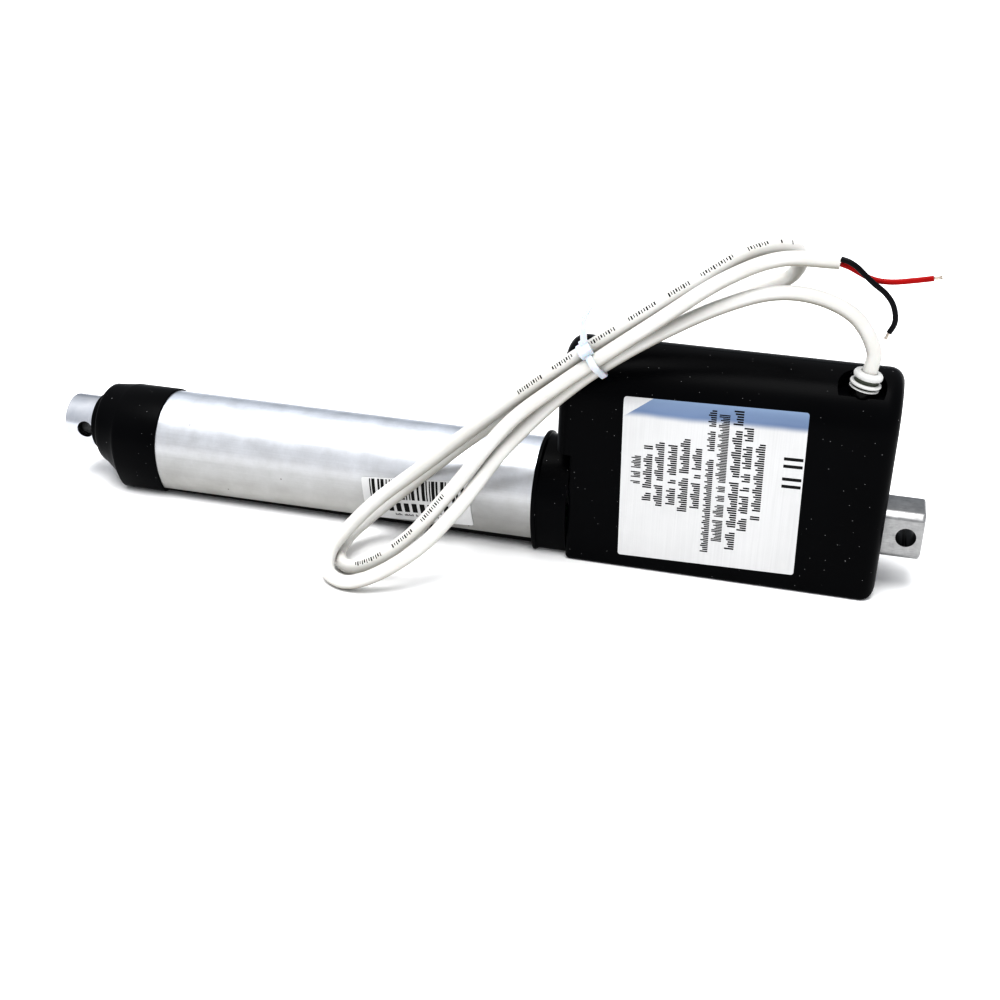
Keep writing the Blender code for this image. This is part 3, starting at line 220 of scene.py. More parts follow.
# The cable's route from part.py, in millimetres
CABLE_R = 2.5 * MM
CABLE_ROUTE = (
    (137.1, -10.0, 73.9), (138.7, -10.0, 83.2), (138.9, -10.0, 88.2), (132.0, -9.9, 98.9),
    (119.6, -10.5, 104.7), (105.4, -11.6, 105.3), (87.6, -14.1, 99.2), (59.5, -19.3, 82.8),
    (39.7, -25.1, 67.6), (21.3, -34.7, 48.0), (7.5, -46.6, 27.9), (-4.3, -55.4, 15.0),
    (-19.2, -61.9, 5.6), (-28.2, -62.4, 2.8), (-35.3, -58.2, 3.4), (-37.6, -50.2, 6.8),
    (-34.3, -40.9, 12.0), (-25.9, -33.4, 20.8), (-9.6, -29.8, 35.1), (16.4, -27.8, 58.5),
    (41.6, -22.9, 79.3), (76.4, -13.6, 104.6), (93.2, -7.2, 115.6), (102.5, -1.3, 117.9),
    (109.1, 3.1, 116.7), (111.6, 8.0, 111.0), (108.4, 11.1, 104.4), (101.4, 10.5, 100.9),
    (88.7, 8.0, 95.2), (71.8, -0.9, 87.8), (51.4, -11.8, 81.9), (36.4, -19.4, 71.7),
    (19.1, -22.6, 56.7), (-3.9, -21.9, 35.7), (-21.7, -22.2, 18.6), (-31.4, -26.9, 9.9),
    (-36.6, -35.3, 5.1), (-36.3, -45.1, 2.9), (-30.7, -51.9, 3.1), (-21.7, -53.6, 6.8),
    (-8.2, -50.5, 17.4), (5.7, -44.2, 35.0), (22.9, -34.8, 58.2), (39.0, -29.3, 72.1),
    (66.9, -22.1, 93.5), (89.4, -15.0, 109.6), (105.5, -10.3, 116.2), (124.1, -8.0, 116.7),
)
WIRE_R = 0.9 * MM
RED_ROUTE = (
    (124.5, -7.4, 115.8), (127.6, -7.1, 114.8), (130.6, -6.7, 113.3), (133.9, -6.5, 111.8),
    (137.5, -6.6, 111.1), (141.8, -7.0, 111.3), (148.1, -7.5, 112.6), (153.8, -8.0, 114.0),
)
BLACK_ROUTE = (
    (124.5, -8.7, 117.7), (127.0, -9.2, 117.2), (129.7, -9.7, 115.9), (132.9, -9.9, 113.3),
    (135.9, -9.8, 110.9), (139.8, -9.2, 107.9), (142.5, -8.5, 104.4), (143.9, -8.0, 100.1),
    (143.9, -7.8, 97.6), (142.7, -7.5, 94.5),
)

# The tie: its middle, the way along the bundle and outwards, its head, strap and free tail
TIE_AT = (48.2, -20.1, 78.9)
TIE_ALONG = (-0.79, -0.20, -0.58)
TIE_OUT = (-0.358, -0.617, 0.701)
TIE_HEAD_ACROSS = -2.1 * MM
TIE_HEAD = (4.8 * MM, 3.4 * MM, 4.6 * MM)
TIE_TAIL = (
    (0.0, 0.0, 0.0), (-0.4, 0.2, 3.2), (-0.8, 0.9, 6.7), (-1.1, 2.0, 9.8), (-0.4, 3.3, 12.0),
    (0.6, 4.7, 13.7), (1.3, 5.8, 14.9),
)
TIE_WIDTH = 2.3 * MM
TIE_THICK = 0.6 * MM
TIE_GAP = 0.72 * MM
TIE_TAIL_THICK = 0.9 * MM
TIE_SOFT = 0.15 * MM
TIE_HEAD_SUNK = 1.2 * MM

# Printed marks along the cable, as runs of millimetres from the gland end, and their side
PRINT_RUNS = (
    (348.1, 358.5), (362.7, 371.2), (377.4, 388.0), (392.9, 403.7), (408.2, 416.4), (420.3, 432.5),
    (436.9, 444.2), (448.2, 449.1), (451.9, 452.7), (686.2, 697.5), (702.0, 711.8), (716.2, 728.7),
)
PRINT_SIDE = (0.0, -0.72, 0.69)
MARK_PITCH = 0.95
MARK_FOOT = -0.78 * MM
MARK_TOPS = (0.78, 0.52, 0.7, 0.4)
MARK_HALVES = (0.17, 0.24, 0.14)

# The wires' bare strands: how many, their thickness, their turn and step along, how far behind
# the insulation's end they start, and how they spread
STRANDS = 5
STRAND_R = 0.17 * MM
STRAND_STEPS = 7
STRAND_TWIST = 0.35
STRAND_STEP = 0.5 * MM
STRAND_START = 0.4 * MM
STRAND_REACH = 0.3 * MM
STRAND_FLARE = 0.08


# ---------------------------------------------------------------- nodes


class Nodes:
    """A material's or world's node tree, with short calls for the nodes used here."""

    def __init__(self, owner, shader):
        self.owner = owner
        owner.use_nodes = True
        self.tree = owner.node_tree
        self.shader = self.tree.nodes[shader]

    def feed(self, socket, value):
        """Links an output into the socket, or sets its number, vector or colour."""
        if isinstance(value, bpy.types.NodeSocket):
            self.tree.links.new(value, socket)
        else:
            socket.default_value = (*value, 1.0) if socket.type == "RGBA" else value

    def make(self, kind, output, inputs, **settings):
        """A new node with its inputs fed; the named output, or all of them for None."""
        node = self.tree.nodes.new("ShaderNode" + kind)
        for key, value in settings.items():
            setattr(node, key, value)
        for key, value in inputs.items():
            self.feed(node.inputs[key], value)
        return node.outputs if output is None else node.outputs[output]

    def set(self, **values):
        """Feeds the shader's own sockets, by name with _ for a space."""
        for key, value in values.items():
            self.feed(self.shader.inputs[key.replace("_", " ")], value)

    def place(self, scale=(1, 1, 1)):
        """Object coordinates in metres, scaled to the grain's size."""
        coords = self.make("TexCoord", "Object", {})
        return self.make("Mapping", "Vector", {"Vector": coords, "Scale": scale})

    def axes(self, vector):
        """A vector's X, Y and Z."""
        return self.make("SeparateXYZ", None, {"Vector": vector})

    def noise(self, vector, scale, detail=4.0, rough=0.5):
        inputs = {"Vector": vector, "Scale": scale, "Detail": detail, "Roughness": rough}
        return self.make("TexNoise", "Fac", inputs)

    def ramp(self, factor, *stops):
        """A colour ramp; a stop is (position, value or colour)."""
        colours = self.make("ValToRGB", "Color", {"Fac": factor})
        elements = colours.node.color_ramp.elements
        while len(elements) < len(stops):
            elements.new(0.5)
        for element, (position, value) in zip(elements, stops):
            element.position = position
            colour = value if isinstance(value, tuple) else (value, value, value)
            element.color = (*colour, 1.0)
        return colours

    def range(self, factor, low, high, start=0.0, end=1.0, kind="LINEAR"):
        """From low to high as the factor goes from start to end, and level past them."""
        inputs = {"Value": factor, "From Min": start, "From Max": end}
        inputs |= {"To Min": low, "To Max": high}
        return self.make("MapRange", "Result", inputs, interpolation_type=kind)

    def mix(self, factor, first, second, blend="MIX"):
        """Mixes two colours; each is a socket or an RGB tuple."""
        inputs = {0: factor, 6: first, 7: second}
        return self.make("Mix", 2, inputs, data_type="RGBA", blend_type=blend)

    def math(self, operation, first, second=0.0):
        return self.make("Math", 0, {0: first, 1: second}, operation=operation)

    def times(self, value, *others):
        for other in others:
            value = self.math("MULTIPLY", value, other)
        return value

    def vector(self, operation, output, *values):
        return self.make("VectorMath", output, dict(enumerate(values)), operation=operation)

    def spots(self, place, scale, share, size):
        """Round spots in the cells above a share, and a random value for each cell."""
        cells = self.make("TexVoronoi", None, {"Vector": place, "Scale": scale})
        tint = self.make("SeparateColor", None, {"Color": cells["Color"]})
        chosen = self.math("GREATER_THAN", tint[0], share)
        return self.times(chosen, self.math("LESS_THAN", cells["Distance"], size)), tint[1]

    def bump(self, height, strength, distance):
        inputs = {"Height": height, "Strength": strength, "Distance": distance}
        self.set(Normal=self.make("Bump", "Normal", inputs))


def material(name, **values):
    n = Nodes(bpy.data.materials.new(name), "Principled BSDF")
    n.set(**values)
    return n


def black_plastic():
    """Moulded black plastic: fine grain, uneven gloss, rubbed marks and specks of dust."""
    n = material("satin black plastic", Specular_IOR_Level=0.045)
    place = n.place()
    cloud = n.noise(place, 38.0, 5.0, 0.6)
    base = n.ramp(cloud, (0.3, (0.0008, 0.0009, 0.0014)), (0.75, (0.0018, 0.0020, 0.0028)))
    specks = []
    for scale, share, size in ((300.0, 0.74, 0.075), (760.0, 0.88, 0.12)):
        inside, tint = n.spots(place, scale, share, size)
        specks.append(n.times(inside, tint, 0.8))
    n.set(Base_Color=n.mix(n.math("MAXIMUM", *specks), base, (0.3, 0.3, 0.3)))
    n.set(Roughness=n.range(cloud, 0.27, 0.42))
    n.bump(n.noise(place, 2600.0, 3.0, 0.6), 0.14, 0.00006)
    return n.owner


def tube_alloy():
    """Extruded aluminium: lines, clouds, painted light and shade by height, and a painted foot
    shadow.
    """
    n = material("extruded aluminium", Specular_IOR_Level=0.05)
    place = n.place()
    lines = n.noise(n.place((6.0, 520.0, 520.0)), 4.0, 4.0, 0.6)
    cloud = n.noise(place, 110.0, 7.0, 0.7)
    blotch = n.noise(n.place((0.5, 1.6, 1.6)), 46.0, 3.0)
    drawn = n.ramp(lines, (0.3, (0.56, 0.57, 0.59)), (0.7, (0.66, 0.67, 0.69)))
    mottle = n.ramp(cloud, (0.32, (0.50, 0.50, 0.50)), (0.7, (0.70, 0.71, 0.73)))
    shade = n.mix(n.range(blotch, 0.0, 0.3), n.mix(0.6, drawn, mottle), (0.70, 0.71, 0.74))
    where = n.axes(place)
    # painted light: brighter bands high up and darker, warmer tones low down stand in for
    # reflections and shade
    painted_light = n.ramp(n.range(where["Z"], 0.0, 1.0, 0.0, TUBE_PAINTED_LIGHT_TOP), *TUBE_PAINTED_LIGHT)
    pits, _ = n.spots(place, 260.0, 0.93, 0.09)
    metal = n.mix(n.times(pits, 0.6), n.mix(1.0, shade, painted_light, "MULTIPLY"), (0.10, 0.09, 0.08))
    # painted shadow: a black, dull strip along the tube's lower edge stands in for the shadow
    # between tube and floor
    rise = n.times(n.math("SUBTRACT", where["X"], FOOT_SHADOW_FROM_X), FOOT_SHADOW_RISE)
    foot = n.math("LESS_THAN", where["Z"], n.math("ADD", FOOT_SHADOW_EDGE, rise))
    n.set(Base_Color=n.mix(foot, metal, (0.004, 0.004, 0.004)))
    n.set(Metallic=n.math("SUBTRACT", 1.0, foot))
    n.set(Roughness=n.math("ADD", n.range(cloud, 0.28, 0.44), n.times(foot, 0.4)))
    n.bump(lines, 0.12, 0.00004)
    return n.owner


def hole_shaded(n, x, radius, colour, dark=(0.05, 0.05, 0.05)):
    """The colour with painted shade, dark inside a cross hole at x on the spindle line."""
    where = n.axes(n.place())
    across = n.math("SUBTRACT", where["X"], x)
    up = n.math("SUBTRACT", where["Z"], AXIS_Z)
    reach = n.math("ADD", n.times(across, across), n.times(up, up))
    return n.mix(n.math("LESS_THAN", reach, (radius + WALL_SHADE) ** 2), colour, dark)


def rod_metal():
    """Polished rod with faint rings left by grinding, and painted shade inside its cross hole."""
    n = material("ground rod", Metallic=1.0)
    rings = n.noise(n.place((900.0, 12.0, 12.0)), 3.0, 4.0, 0.6)
    cloud = n.noise(n.place(), 120.0, 3.0)
    shade = n.ramp(cloud, (0.3, (0.53, 0.55, 0.59)), (0.7, (0.63, 0.64, 0.67)))
    n.set(Base_Color=hole_shaded(n, EYE_X, EYE_R, shade), Roughness=n.range(rings, 0.18, 0.32))
    n.bump(rings, 0.08, 0.00003)
    return n.owner


def block_alloy():
    """Sawn and brushed square bar, mottled, with painted shade inside its cross hole."""
    n = material("brushed bar", Metallic=1.0)
    lines = n.noise(n.place((90.0, 1100.0, 1100.0)), 3.0, 4.0, 0.65)
    cloud = n.noise(n.place(), 320.0, 6.0, 0.7)
    mottle = n.ramp(cloud, (0.3, 0.22), (0.7, 0.46))
    shade = n.mix(0.5, n.ramp(lines, (0.3, 0.25), (0.7, 0.43)), mottle)
    n.set(Base_Color=hole_shaded(n, BLOCK_HOLE_X, BLOCK_HOLE_R, shade, (0.012, 0.012, 0.012)))
    n.set(Roughness=n.range(cloud, 0.26, 0.44))
    n.bump(lines, 0.3, 0.00005)
    return n.owner


def plain_metal(name, dark, light, rough=(0.25, 0.4)):
    """Machined metal with a fine turned grain."""
    n = material(name, Metallic=1.0)
    grain = n.noise(n.place((500.0, 60.0, 60.0)), 3.0, 4.0, 0.6)
    n.set(Base_Color=n.ramp(grain, (0.3, dark), (0.7, light)), Roughness=n.range(grain, *rough))
    n.bump(grain, 0.1, 0.00004)
    return n.owner


def groove_shaded(n, colour):
    """The colour with painted shade: dark in the gland's grooves and black on the stem below its
    rings.
    """
    axis = (math.sin(GLAND_LEAN), 0.0, math.cos(GLAND_LEAN))
    offset = n.vector("SUBTRACT", "Vector", n.place(), tuple(GLAND_AT))
    along = n.vector("DOT_PRODUCT", "Value", offset, axis)
    reach = n.vector("LENGTH", "Value", n.vector("CROSS_PRODUCT", "Vector", offset, axis))
    inside = n.math("LESS_THAN", reach, GROOVE_REACH)
    inside = n.times(inside, n.math("LESS_THAN", along, GROOVE_TOP))
    dark = n.mix(n.math("LESS_THAN", along, GROOVE_FOOT), GROOVE_SHADE, (0.003, 0.003, 0.003))
    return n.mix(inside, colour, dark)


def underside_shaded(n, colour):
    """The colour with painted shade, darker and yellower towards the underside."""
    facing = n.axes(n.make("TexCoord", "Normal", {}))
    return n.mix(n.range(facing["Z"], 0.0, 1.0, -0.1, -0.85), colour, (0.23, 0.215, 0.175))


def moulding(name, dark, light, rough, spread=70.0, through=0.0, gloss=0.5, within=None):
    """A moulded plastic or rubber with soft colour variation and a fine surface."""
    n = material(name, Subsurface_Weight=through, Subsurface_Scale=0.002, Specular_IOR_Level=gloss)
    cloud = n.noise(n.place(), spread, 4.0, 0.55)
    colour = n.ramp(cloud, (0.3, dark), (0.7, light))
    n.set(Base_Color=within(n, colour) if within else colour, Roughness=n.range(cloud, *rough))
    n.bump(n.noise(n.place(), 1800.0, 2.0), 0.08, 0.00004)
    return n.owner


def label_foil():
    """Silver-white label film, faintly brushed, with a painted blue-grey reflection where it bends
    over the top.
    """
    n = material("label foil", Metallic=0.35, Coat_Weight=0.3, Coat_Roughness=0.15)
    place = n.place()
    lines = n.noise(n.place((1200.0, 1200.0, 20.0)), 2.0, 3.0)
    cloud = n.noise(place, 45.0, 3.0)
    mottle = n.ramp(cloud, (0.0, 0.46), (1.0, 0.66))
    base = n.mix(0.4, n.ramp(lines, (0.3, 0.54), (0.7, 0.59)), mottle)
    where = n.axes(place)
    wave = n.math("SUBTRACT", n.noise(n.place((1.0, 0.2, 0.3)), 40.0, 2.0), 0.5)
    # painted reflection: a blue-grey band over the top of the label, where the bent foil would
    # mirror the room
    slope = n.times(n.math("SUBTRACT", where["X"], REFLECTION_SLOPE[0]), REFLECTION_SLOPE[1])
    height = n.math("ADD", n.math("ADD", where["Z"], n.times(wave, REFLECTION_WAVE)), slope)
    painted_reflection = n.range(height, 0.0, 1.0, *REFLECTION_FROM, "SMOOTHSTEP")
    corner = n.math("ADD", where["X"], n.times(where["Z"], -REFLECTION_CORNER[0]))
    painted_reflection = n.times(painted_reflection, n.math("GREATER_THAN", corner, REFLECTION_CORNER[1]))
    grain = n.noise(n.place((0.2, 1.0, 1.0)), 160.0, 2.0)
    reflected_tone = n.ramp(grain, (0.2, (0.08, 0.125, 0.225)), (0.8, (0.13, 0.19, 0.31)))
    reflected_tone = n.mix(n.range(height, 0.0, 1.0, *REFLECTION_FADE), reflected_tone, (0.25, 0.33, 0.46))
    n.set(Base_Color=n.mix(painted_reflection, base, reflected_tone), Roughness=n.range(cloud, 0.285, 0.355))
    n.bump(lines, 0.05, 0.00003)
    return n.owner


def sticker_paper():
    """Coated white paper with a faint fibre."""
    n = material("sticker paper")
    fibre = n.noise(n.place(), 1500.0, 5.0, 0.7)
    cloud = n.noise(n.place(), 80.0, 3.0)
    tones = [n.ramp(factor, (0.3, 0.60), (0.7, 0.68)) for factor in (fibre, cloud)]
    n.set(Base_Color=n.mix(0.5, *tones), Roughness=n.range(fibre, 0.45, 0.6))
    n.bump(fibre, 0.1, 0.00003)
    return n.owner


def ink():
    """Printed black with thin places."""
    n = material("black ink", Specular_IOR_Level=0.1)
    worn = n.noise(n.place(), 1400.0, 4.0, 0.6)
    n.set(Base_Color=n.ramp(worn, (0.35, 0.004), (0.8, 0.02)), Roughness=n.range(worn, 0.4, 0.6))
    return n.owner


def board_material():
    """Green lacquered board with the weave showing through."""
    n = material("circuit board", Coat_Weight=0.4)
    weave = n.noise(n.place((300.0, 300.0, 300.0)), 6.0, 3.0)
    n.set(Base_Color=n.ramp(weave, (0.35, (0.010, 0.10, 0.035)), (0.65, (0.02, 0.16, 0.06))))
    n.set(Roughness=n.range(weave, 0.3, 0.45))
    return n.owner


# ---------------------------------------------------------------- shapes


def shown(name, data):
    """A new object in the scene."""
    obj = bpy.data.objects.new(name, data)
    bpy.context.scene.collection.objects.link(obj)
    return obj


def smoothed(mesh, sharp=0.0):
    """Shades the mesh smooth, broken at edges over the sharp angle if it is given."""
    for polygon in mesh.polygons:
        polygon.use_smooth = True
    if sharp:
        mesh.set_sharp_from_angle(angle=math.radians(sharp))
    return mesh


def final_mesh(obj):
    """The mesh that an object's modifiers or its curve come to."""
    bpy.context.view_layer.update()
    graph = bpy.context.evaluated_depsgraph_get()
    return bpy.data.meshes.new_from_object(obj.evaluated_get(graph), depsgraph=graph)


def add_mesh(name, bm, look, sharp=35.0):
    bmesh.ops.recalc_face_normals(bm, faces=bm.faces)
    mesh = bpy.data.meshes.new(name)
    bm.to_mesh(mesh)
    bm.free()
    if look:
        mesh.materials.append(look)
    return shown(name, smoothed(mesh, sharp))


def piece(obj, slot, *nodes, body="housing"):
    """Puts a finished object on its body and hides the CAD nodes that it stands for; slot is not
    used.
    """
    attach(obj, body)
    if nodes:
        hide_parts(*nodes)
    return obj


def baked(obj, soften=0.0):
    """Applies the modifiers, with the sharp edges rounded if asked, and shades smooth."""
    if soften:
        bevel = obj.modifiers.new("soften", "BEVEL")
        bevel.width = soften
        bevel.segments = 4
        bevel.limit_method = "ANGLE"
        bevel.angle_limit = math.radians(40)
    mesh = final_mesh(obj)
    obj.modifiers.clear()
    obj.data = smoothed(mesh, 35.0)


def cut(obj, *tools):
    """Takes the tools out of the object at once and removes them."""
    for tool in tools:
        modifier = obj.modifiers.new("cut", "BOOLEAN")
        modifier.operation = "DIFFERENCE"
        modifier.solver = "EXACT"
        modifier.object = tool
    baked(obj)
    for tool in tools:
        bpy.data.objects.remove(tool, do_unlink=True)


def joined(name, *parts):
    """One mesh object out of several."""
    bm = bmesh.new()
    for obj in parts:
        bm.from_mesh(obj.data)
    mesh = bpy.data.meshes.new(name)
    bm.to_mesh(mesh)
    bm.free()
    for look in parts[0].data.materials:
        mesh.materials.append(look)
    for obj in parts:
        bpy.data.objects.remove(obj, do_unlink=True)
    return shown(name, smoothed(mesh))


def stitch(bm, rows):
    """Faces between neighbouring rows of vertices."""
    for low, high in zip(rows, rows[1:]):
        for k in range(len(low) - 1):
            bm.faces.new((low[k], low[k + 1], high[k + 1], high[k]))


def box(name, low, high, look=None, edge=0.0):
    low, high = Vector(low), Vector(high)
    bm = bmesh.new()
    bmesh.ops.create_cube(bm, size=1.0)
    bmesh.ops.scale(bm, vec=high - low, verts=bm.verts)
    bmesh.ops.translate(bm, vec=(low + high) / 2, verts=bm.verts)
    if edge:
        edges = bm.edges[:]
        bmesh.ops.bevel(bm, geom=edges, offset=edge, segments=4, profile=0.5, affect="EDGES")
    return add_mesh(name, bm, look)


TURN_TO = {
    "X": Matrix.Rotation(math.pi / 2, 4, "Y"),
    "Y": Matrix.Rotation(-math.pi / 2, 4, "X"),
    "Z": Matrix.Identity(4),
}


def turned(name, profile, place, look=None, sides=72, sharp=35.0):
    """Turns a closed or axis-to-axis run of (radius, height) points about place's Z axis."""
    bm = bmesh.new()
    rings = []
    for radius, height in profile:
        ring = []
        for k in range(sides if radius else 1):
            angle = 2 * math.pi * k / sides
            spot = Vector((radius * math.cos(angle), radius * math.sin(angle), height))
            ring.append(bm.verts.new(place @ spot))
        rings.append(ring)
    pairs = list(zip(rings, rings[1:]))
    if len(rings[0]) > 1:
        pairs.append((rings[-1], rings[0]))
    for first, second in pairs:
        for k in range(sides):
            j = (k + 1) % sides
            corners = [first[k % len(first)], first[j % len(first)]]
            corners += [second[j % len(second)], second[k % len(second)]]
            corners = list(dict.fromkeys(corners))
            if len(corners) > 2:
                bm.faces.new(corners)
    return add_mesh(name, bm, look, sharp)


def cylinder(name, radius, low, high, axis, centre, sides=64):
    """A plain tool along an axis, its centre given on the other two."""
    middle = list(centre)
    middle.insert("XYZ".index(axis), 0.0)
    place = Matrix.Translation(middle) @ TURN_TO[axis]
    profile = ((0.0, high), (radius, high), (radius, low), (0.0, low))
    return turned(name, profile, place, None, sides)


def loft(name, rings, look, closed=False, sharp=35.0):
    """A skin through rings of points, closed by end faces or on itself."""
    bm = bmesh.new()
    rows = [[bm.verts.new(point) for point in points] for points in rings]
    if closed:
        rows.append(rows[0])
    else:
        bm.faces.new(rows[0])
        bm.faces.new(rows[-1])
    stitch(bm, [[*row, row[0]] for row in rows])
    return add_mesh(name, bm, look, sharp)


def arc(centre, radius, start, end, steps):
    """Points along a flat arc."""
    angles = [start + (end - start) / steps * i for i in range(steps + 1)]
    return [(centre[0] + radius * math.cos(a), centre[1] + radius * math.sin(a)) for a in angles]


def quarter(steps):
    """A quarter round in steps, as the shares 1 - cos and 1 - sin of its radius."""
    turns = [math.pi / 2 * k / steps for k in range(steps + 1)]
    return [(1 - math.cos(turn), 1 - math.sin(turn)) for turn in turns]


def tube_outline(proud):
    """The outer tube's profile, moved outwards by proud and kept just above the floor."""
    side_centre = (TUBE_R - TUBE_SIDE_R, TUBE_CENTRE_Z)
    corner_z = TUBE_CENTRE_Z - TUBE_SIDE_R * math.sin(TUBE_SIDE_TURN)
    corner_r = (corner_z - TUBE_BASE_Z) / (1 - math.sin(TUBE_SIDE_TURN))
    corner_y = side_centre[0] + (TUBE_SIDE_R - corner_r) * math.cos(TUBE_SIDE_TURN)
    corner_centre = (corner_y, TUBE_BASE_Z + corner_r)
    right = arc(corner_centre, corner_r + proud, -math.pi / 2, -TUBE_SIDE_TURN, 10)
    right += arc(side_centre, TUBE_SIDE_R + proud, -TUBE_SIDE_TURN, 0, 12)[1:]
    right += arc((0, TUBE_CENTRE_Z), TUBE_R + proud, 0, math.pi / 2, 26)[1:]
    whole = right + [(-y, z) for y, z in right[-2::-1]]
    return [(y, max(z, 0.1 * MM)) for y, z in whole]


def sleeve(name, stations, look):
    """A sleeve of the tube's profile through (x, proud) corners, in order round its wall."""
    rings = [[(x, y, z) for y, z in tube_outline(proud)] for x, proud in stations]
    return loft(name, rings, look, closed=True)


def housing_outline(inset):
    """The housing's cross-section: upright sides under a half-round crown."""
    half = HOUSING_HALF - inset
    corner = max(1.6 * MM - inset, 0.5 * MM)
    right = arc((half - corner, inset + corner), corner, -math.pi / 2, 0, 5)
    right += arc((0, CROWN_Z), half, 0, math.pi / 2, 32)
    return right + [(-y, z) for y, z in right[-2::-1]]


def housing_loft(name, stations, look=None):
    """The housing's section at each (x, inset)."""
    rings = [[(x, y, z) for y, z in housing_outline(inset)] for x, inset in stations]
    return loft(name, rings, look)


def rounded_block(name, x0, x1, radius, inset, look=None):
    """The housing's section drawn from x0 to x1 with both ends rounded by radius."""
    near = [(x0 + radius * s, inset + radius * c) for c, s in quarter(8)]
    return housing_loft(name, sorted(near + [(x0 + x1 - x, r) for x, r in near]), look)


# ---------------------------------------------------------------- cords


def smooth_route(points, parts=12):
    """A smooth curve through points in millimetres, as a close run of points in metres."""
    given = [Vector(point) * MM for point in points]
    given = [2 * given[0] - given[1], *given, 2 * given[-1] - given[-2]]
    found = []
    for a, b, c, d in zip(given, given[1:], given[2:], given[3:]):
        ta = 0.0
        tb = ta + math.sqrt((b - a).length)
        tc = tb + math.sqrt((c - b).length)
        td = tc + math.sqrt((d - c).length)
        for part in range(parts):
            t = tb + (tc - tb) * part / parts
            ab = a.lerp(b, (t - ta) / (tb - ta))
            bc = b.lerp(c, (t - tb) / (tc - tb))
            cd = c.lerp(d, (t - tc) / (td - tc))
            near = ab.lerp(bc, (t - ta) / (tc - ta))
            far = bc.lerp(cd, (t - tb) / (td - tb))
            found.append(near.lerp(far, (t - tb) / (tc - tb)))
    return [*found, given[-2]]


def ways_along(points):
    """The way along a run of points as far as each of them."""
    ways = [0.0]
    for before, after in zip(points, points[1:]):
        ways.append(ways[-1] + (after - before).length)
    return ways


def cord_curve(name, points, radius, look, roundness=6):
    """A round cord along a run of points."""
    curve = bpy.data.curves.new(name, "CURVE")
    curve.dimensions = "3D"
    curve.bevel_depth = radius
    curve.bevel_resolution = roundness
    curve.use_fill_caps = True
    curve.materials.append(look)
    spline = curve.splines.new("POLY")
    spline.points.add(len(points) - 1)
    spline.use_smooth = True
    for target, point in zip(spline.points, points):
        target.co = (*point, 1.0)
    return shown(name, curve)


def frayed_tip(name, route, look):
    """A few fine strands twisted together beyond a wire's insulation."""
    out = (route[-1] - route[-2]).normalized()
    side = out.orthogonal().normalized()
    other = out.cross(side)
    strands = []
    for k in range(STRANDS):
        run = []
        for step in range(STRAND_STEPS):
            turn = 2 * math.pi * k / STRANDS + step * STRAND_TWIST
            spread = side * math.cos(turn) + other * math.sin(turn)
            ahead = out * (step * STRAND_STEP - STRAND_START)
            run.append(route[-1] + ahead + spread * STRAND_REACH * (1 + STRAND_FLARE * step))
        curve = cord_curve(f"{name}_{k}", run, STRAND_R, look, 2)
        strands.append(shown(f"{name}_mesh_{k}", final_mesh(curve)))
        bpy.data.objects.remove(curve, do_unlink=True)
    return joined(name, *strands)


def make_print(route, look):
    """Short stems in runs along the cable, in place of its printed line."""
    ways = ways_along(route)
    bm = bmesh.new()
    for run, (low, high) in enumerate(PRINT_RUNS):
        count = max(1, round((high - low) / MARK_PITCH))
        for index in range(count):
            at = (low + (high - low) * (index + 0.5) / count) * MM
            k = next(i for i, way in enumerate(ways) if way > at) - 1
            centre = route[k].lerp(route[k + 1], (at - ways[k]) / (ways[k + 1] - ways[k]))
            heading = (route[k + 1] - route[k]).normalized()
            face = Vector(PRINT_SIDE)
            face = (face - heading * face.dot(heading)).normalized()
            side = heading.cross(face)
            tall = MARK_TOPS[(run * 3 + index * index) % len(MARK_TOPS)] * MM
            half = MARK_HALVES[(run + index) % len(MARK_HALVES)] * MM
            rows = []
            for step in range(5):
                angle = (MARK_FOOT + (tall - MARK_FOOT) * step / 4) / CABLE_R
                spoke = face * math.cos(angle) + side * math.sin(angle)
                point = centre + spoke * (CABLE_R + INK)
                rows.append([bm.verts.new(point + heading * reach) for reach in (-half, half)])
            stitch(bm, rows)
    return piece(add_mesh("cable_marks", bm, look, 80), "cable_jacket")


def make_cords(looks):
    """The cable, and the two wires with their bare tips that come out of its end."""
    route = smooth_route(CABLE_ROUTE)
    cable = cord_curve("cable_jacket", route, CABLE_R, looks["cable"], 8)
    piece(cable, "cable_jacket", "cable")
    for colour, points, look in (("red", RED_ROUTE, "red"), ("black", BLACK_ROUTE, "black_wire")):
        line = smooth_route(points)
        wire = cord_curve(f"{colour}_lead", line, WIRE_R, looks[look])
        piece(wire, f"{colour}_insulation", f"{colour}_wire")
        tip = frayed_tip(f"{colour}_strands", line, looks["copper"])
        piece(tip, "copper_strand", f"{colour}_wire_tip")
    return cable, route


# ---------------------------------------------------------------- tie


def belt_outline(centres, radius, steps=10):
    """A belt's line round equal discs, whose centres are given in order round them."""
    outline = []
    for index, centre in enumerate(centres):
        into = centre - centres[index - 1]
        away = centres[(index + 1) % len(centres)] - centre
        start = math.atan2(into.y, into.x) - math.pi / 2
        end = math.atan2(away.y, away.x) - math.pi / 2
        outline += arc(centre, radius, start, start + (end - start) % (2 * math.pi), steps)
    return outline


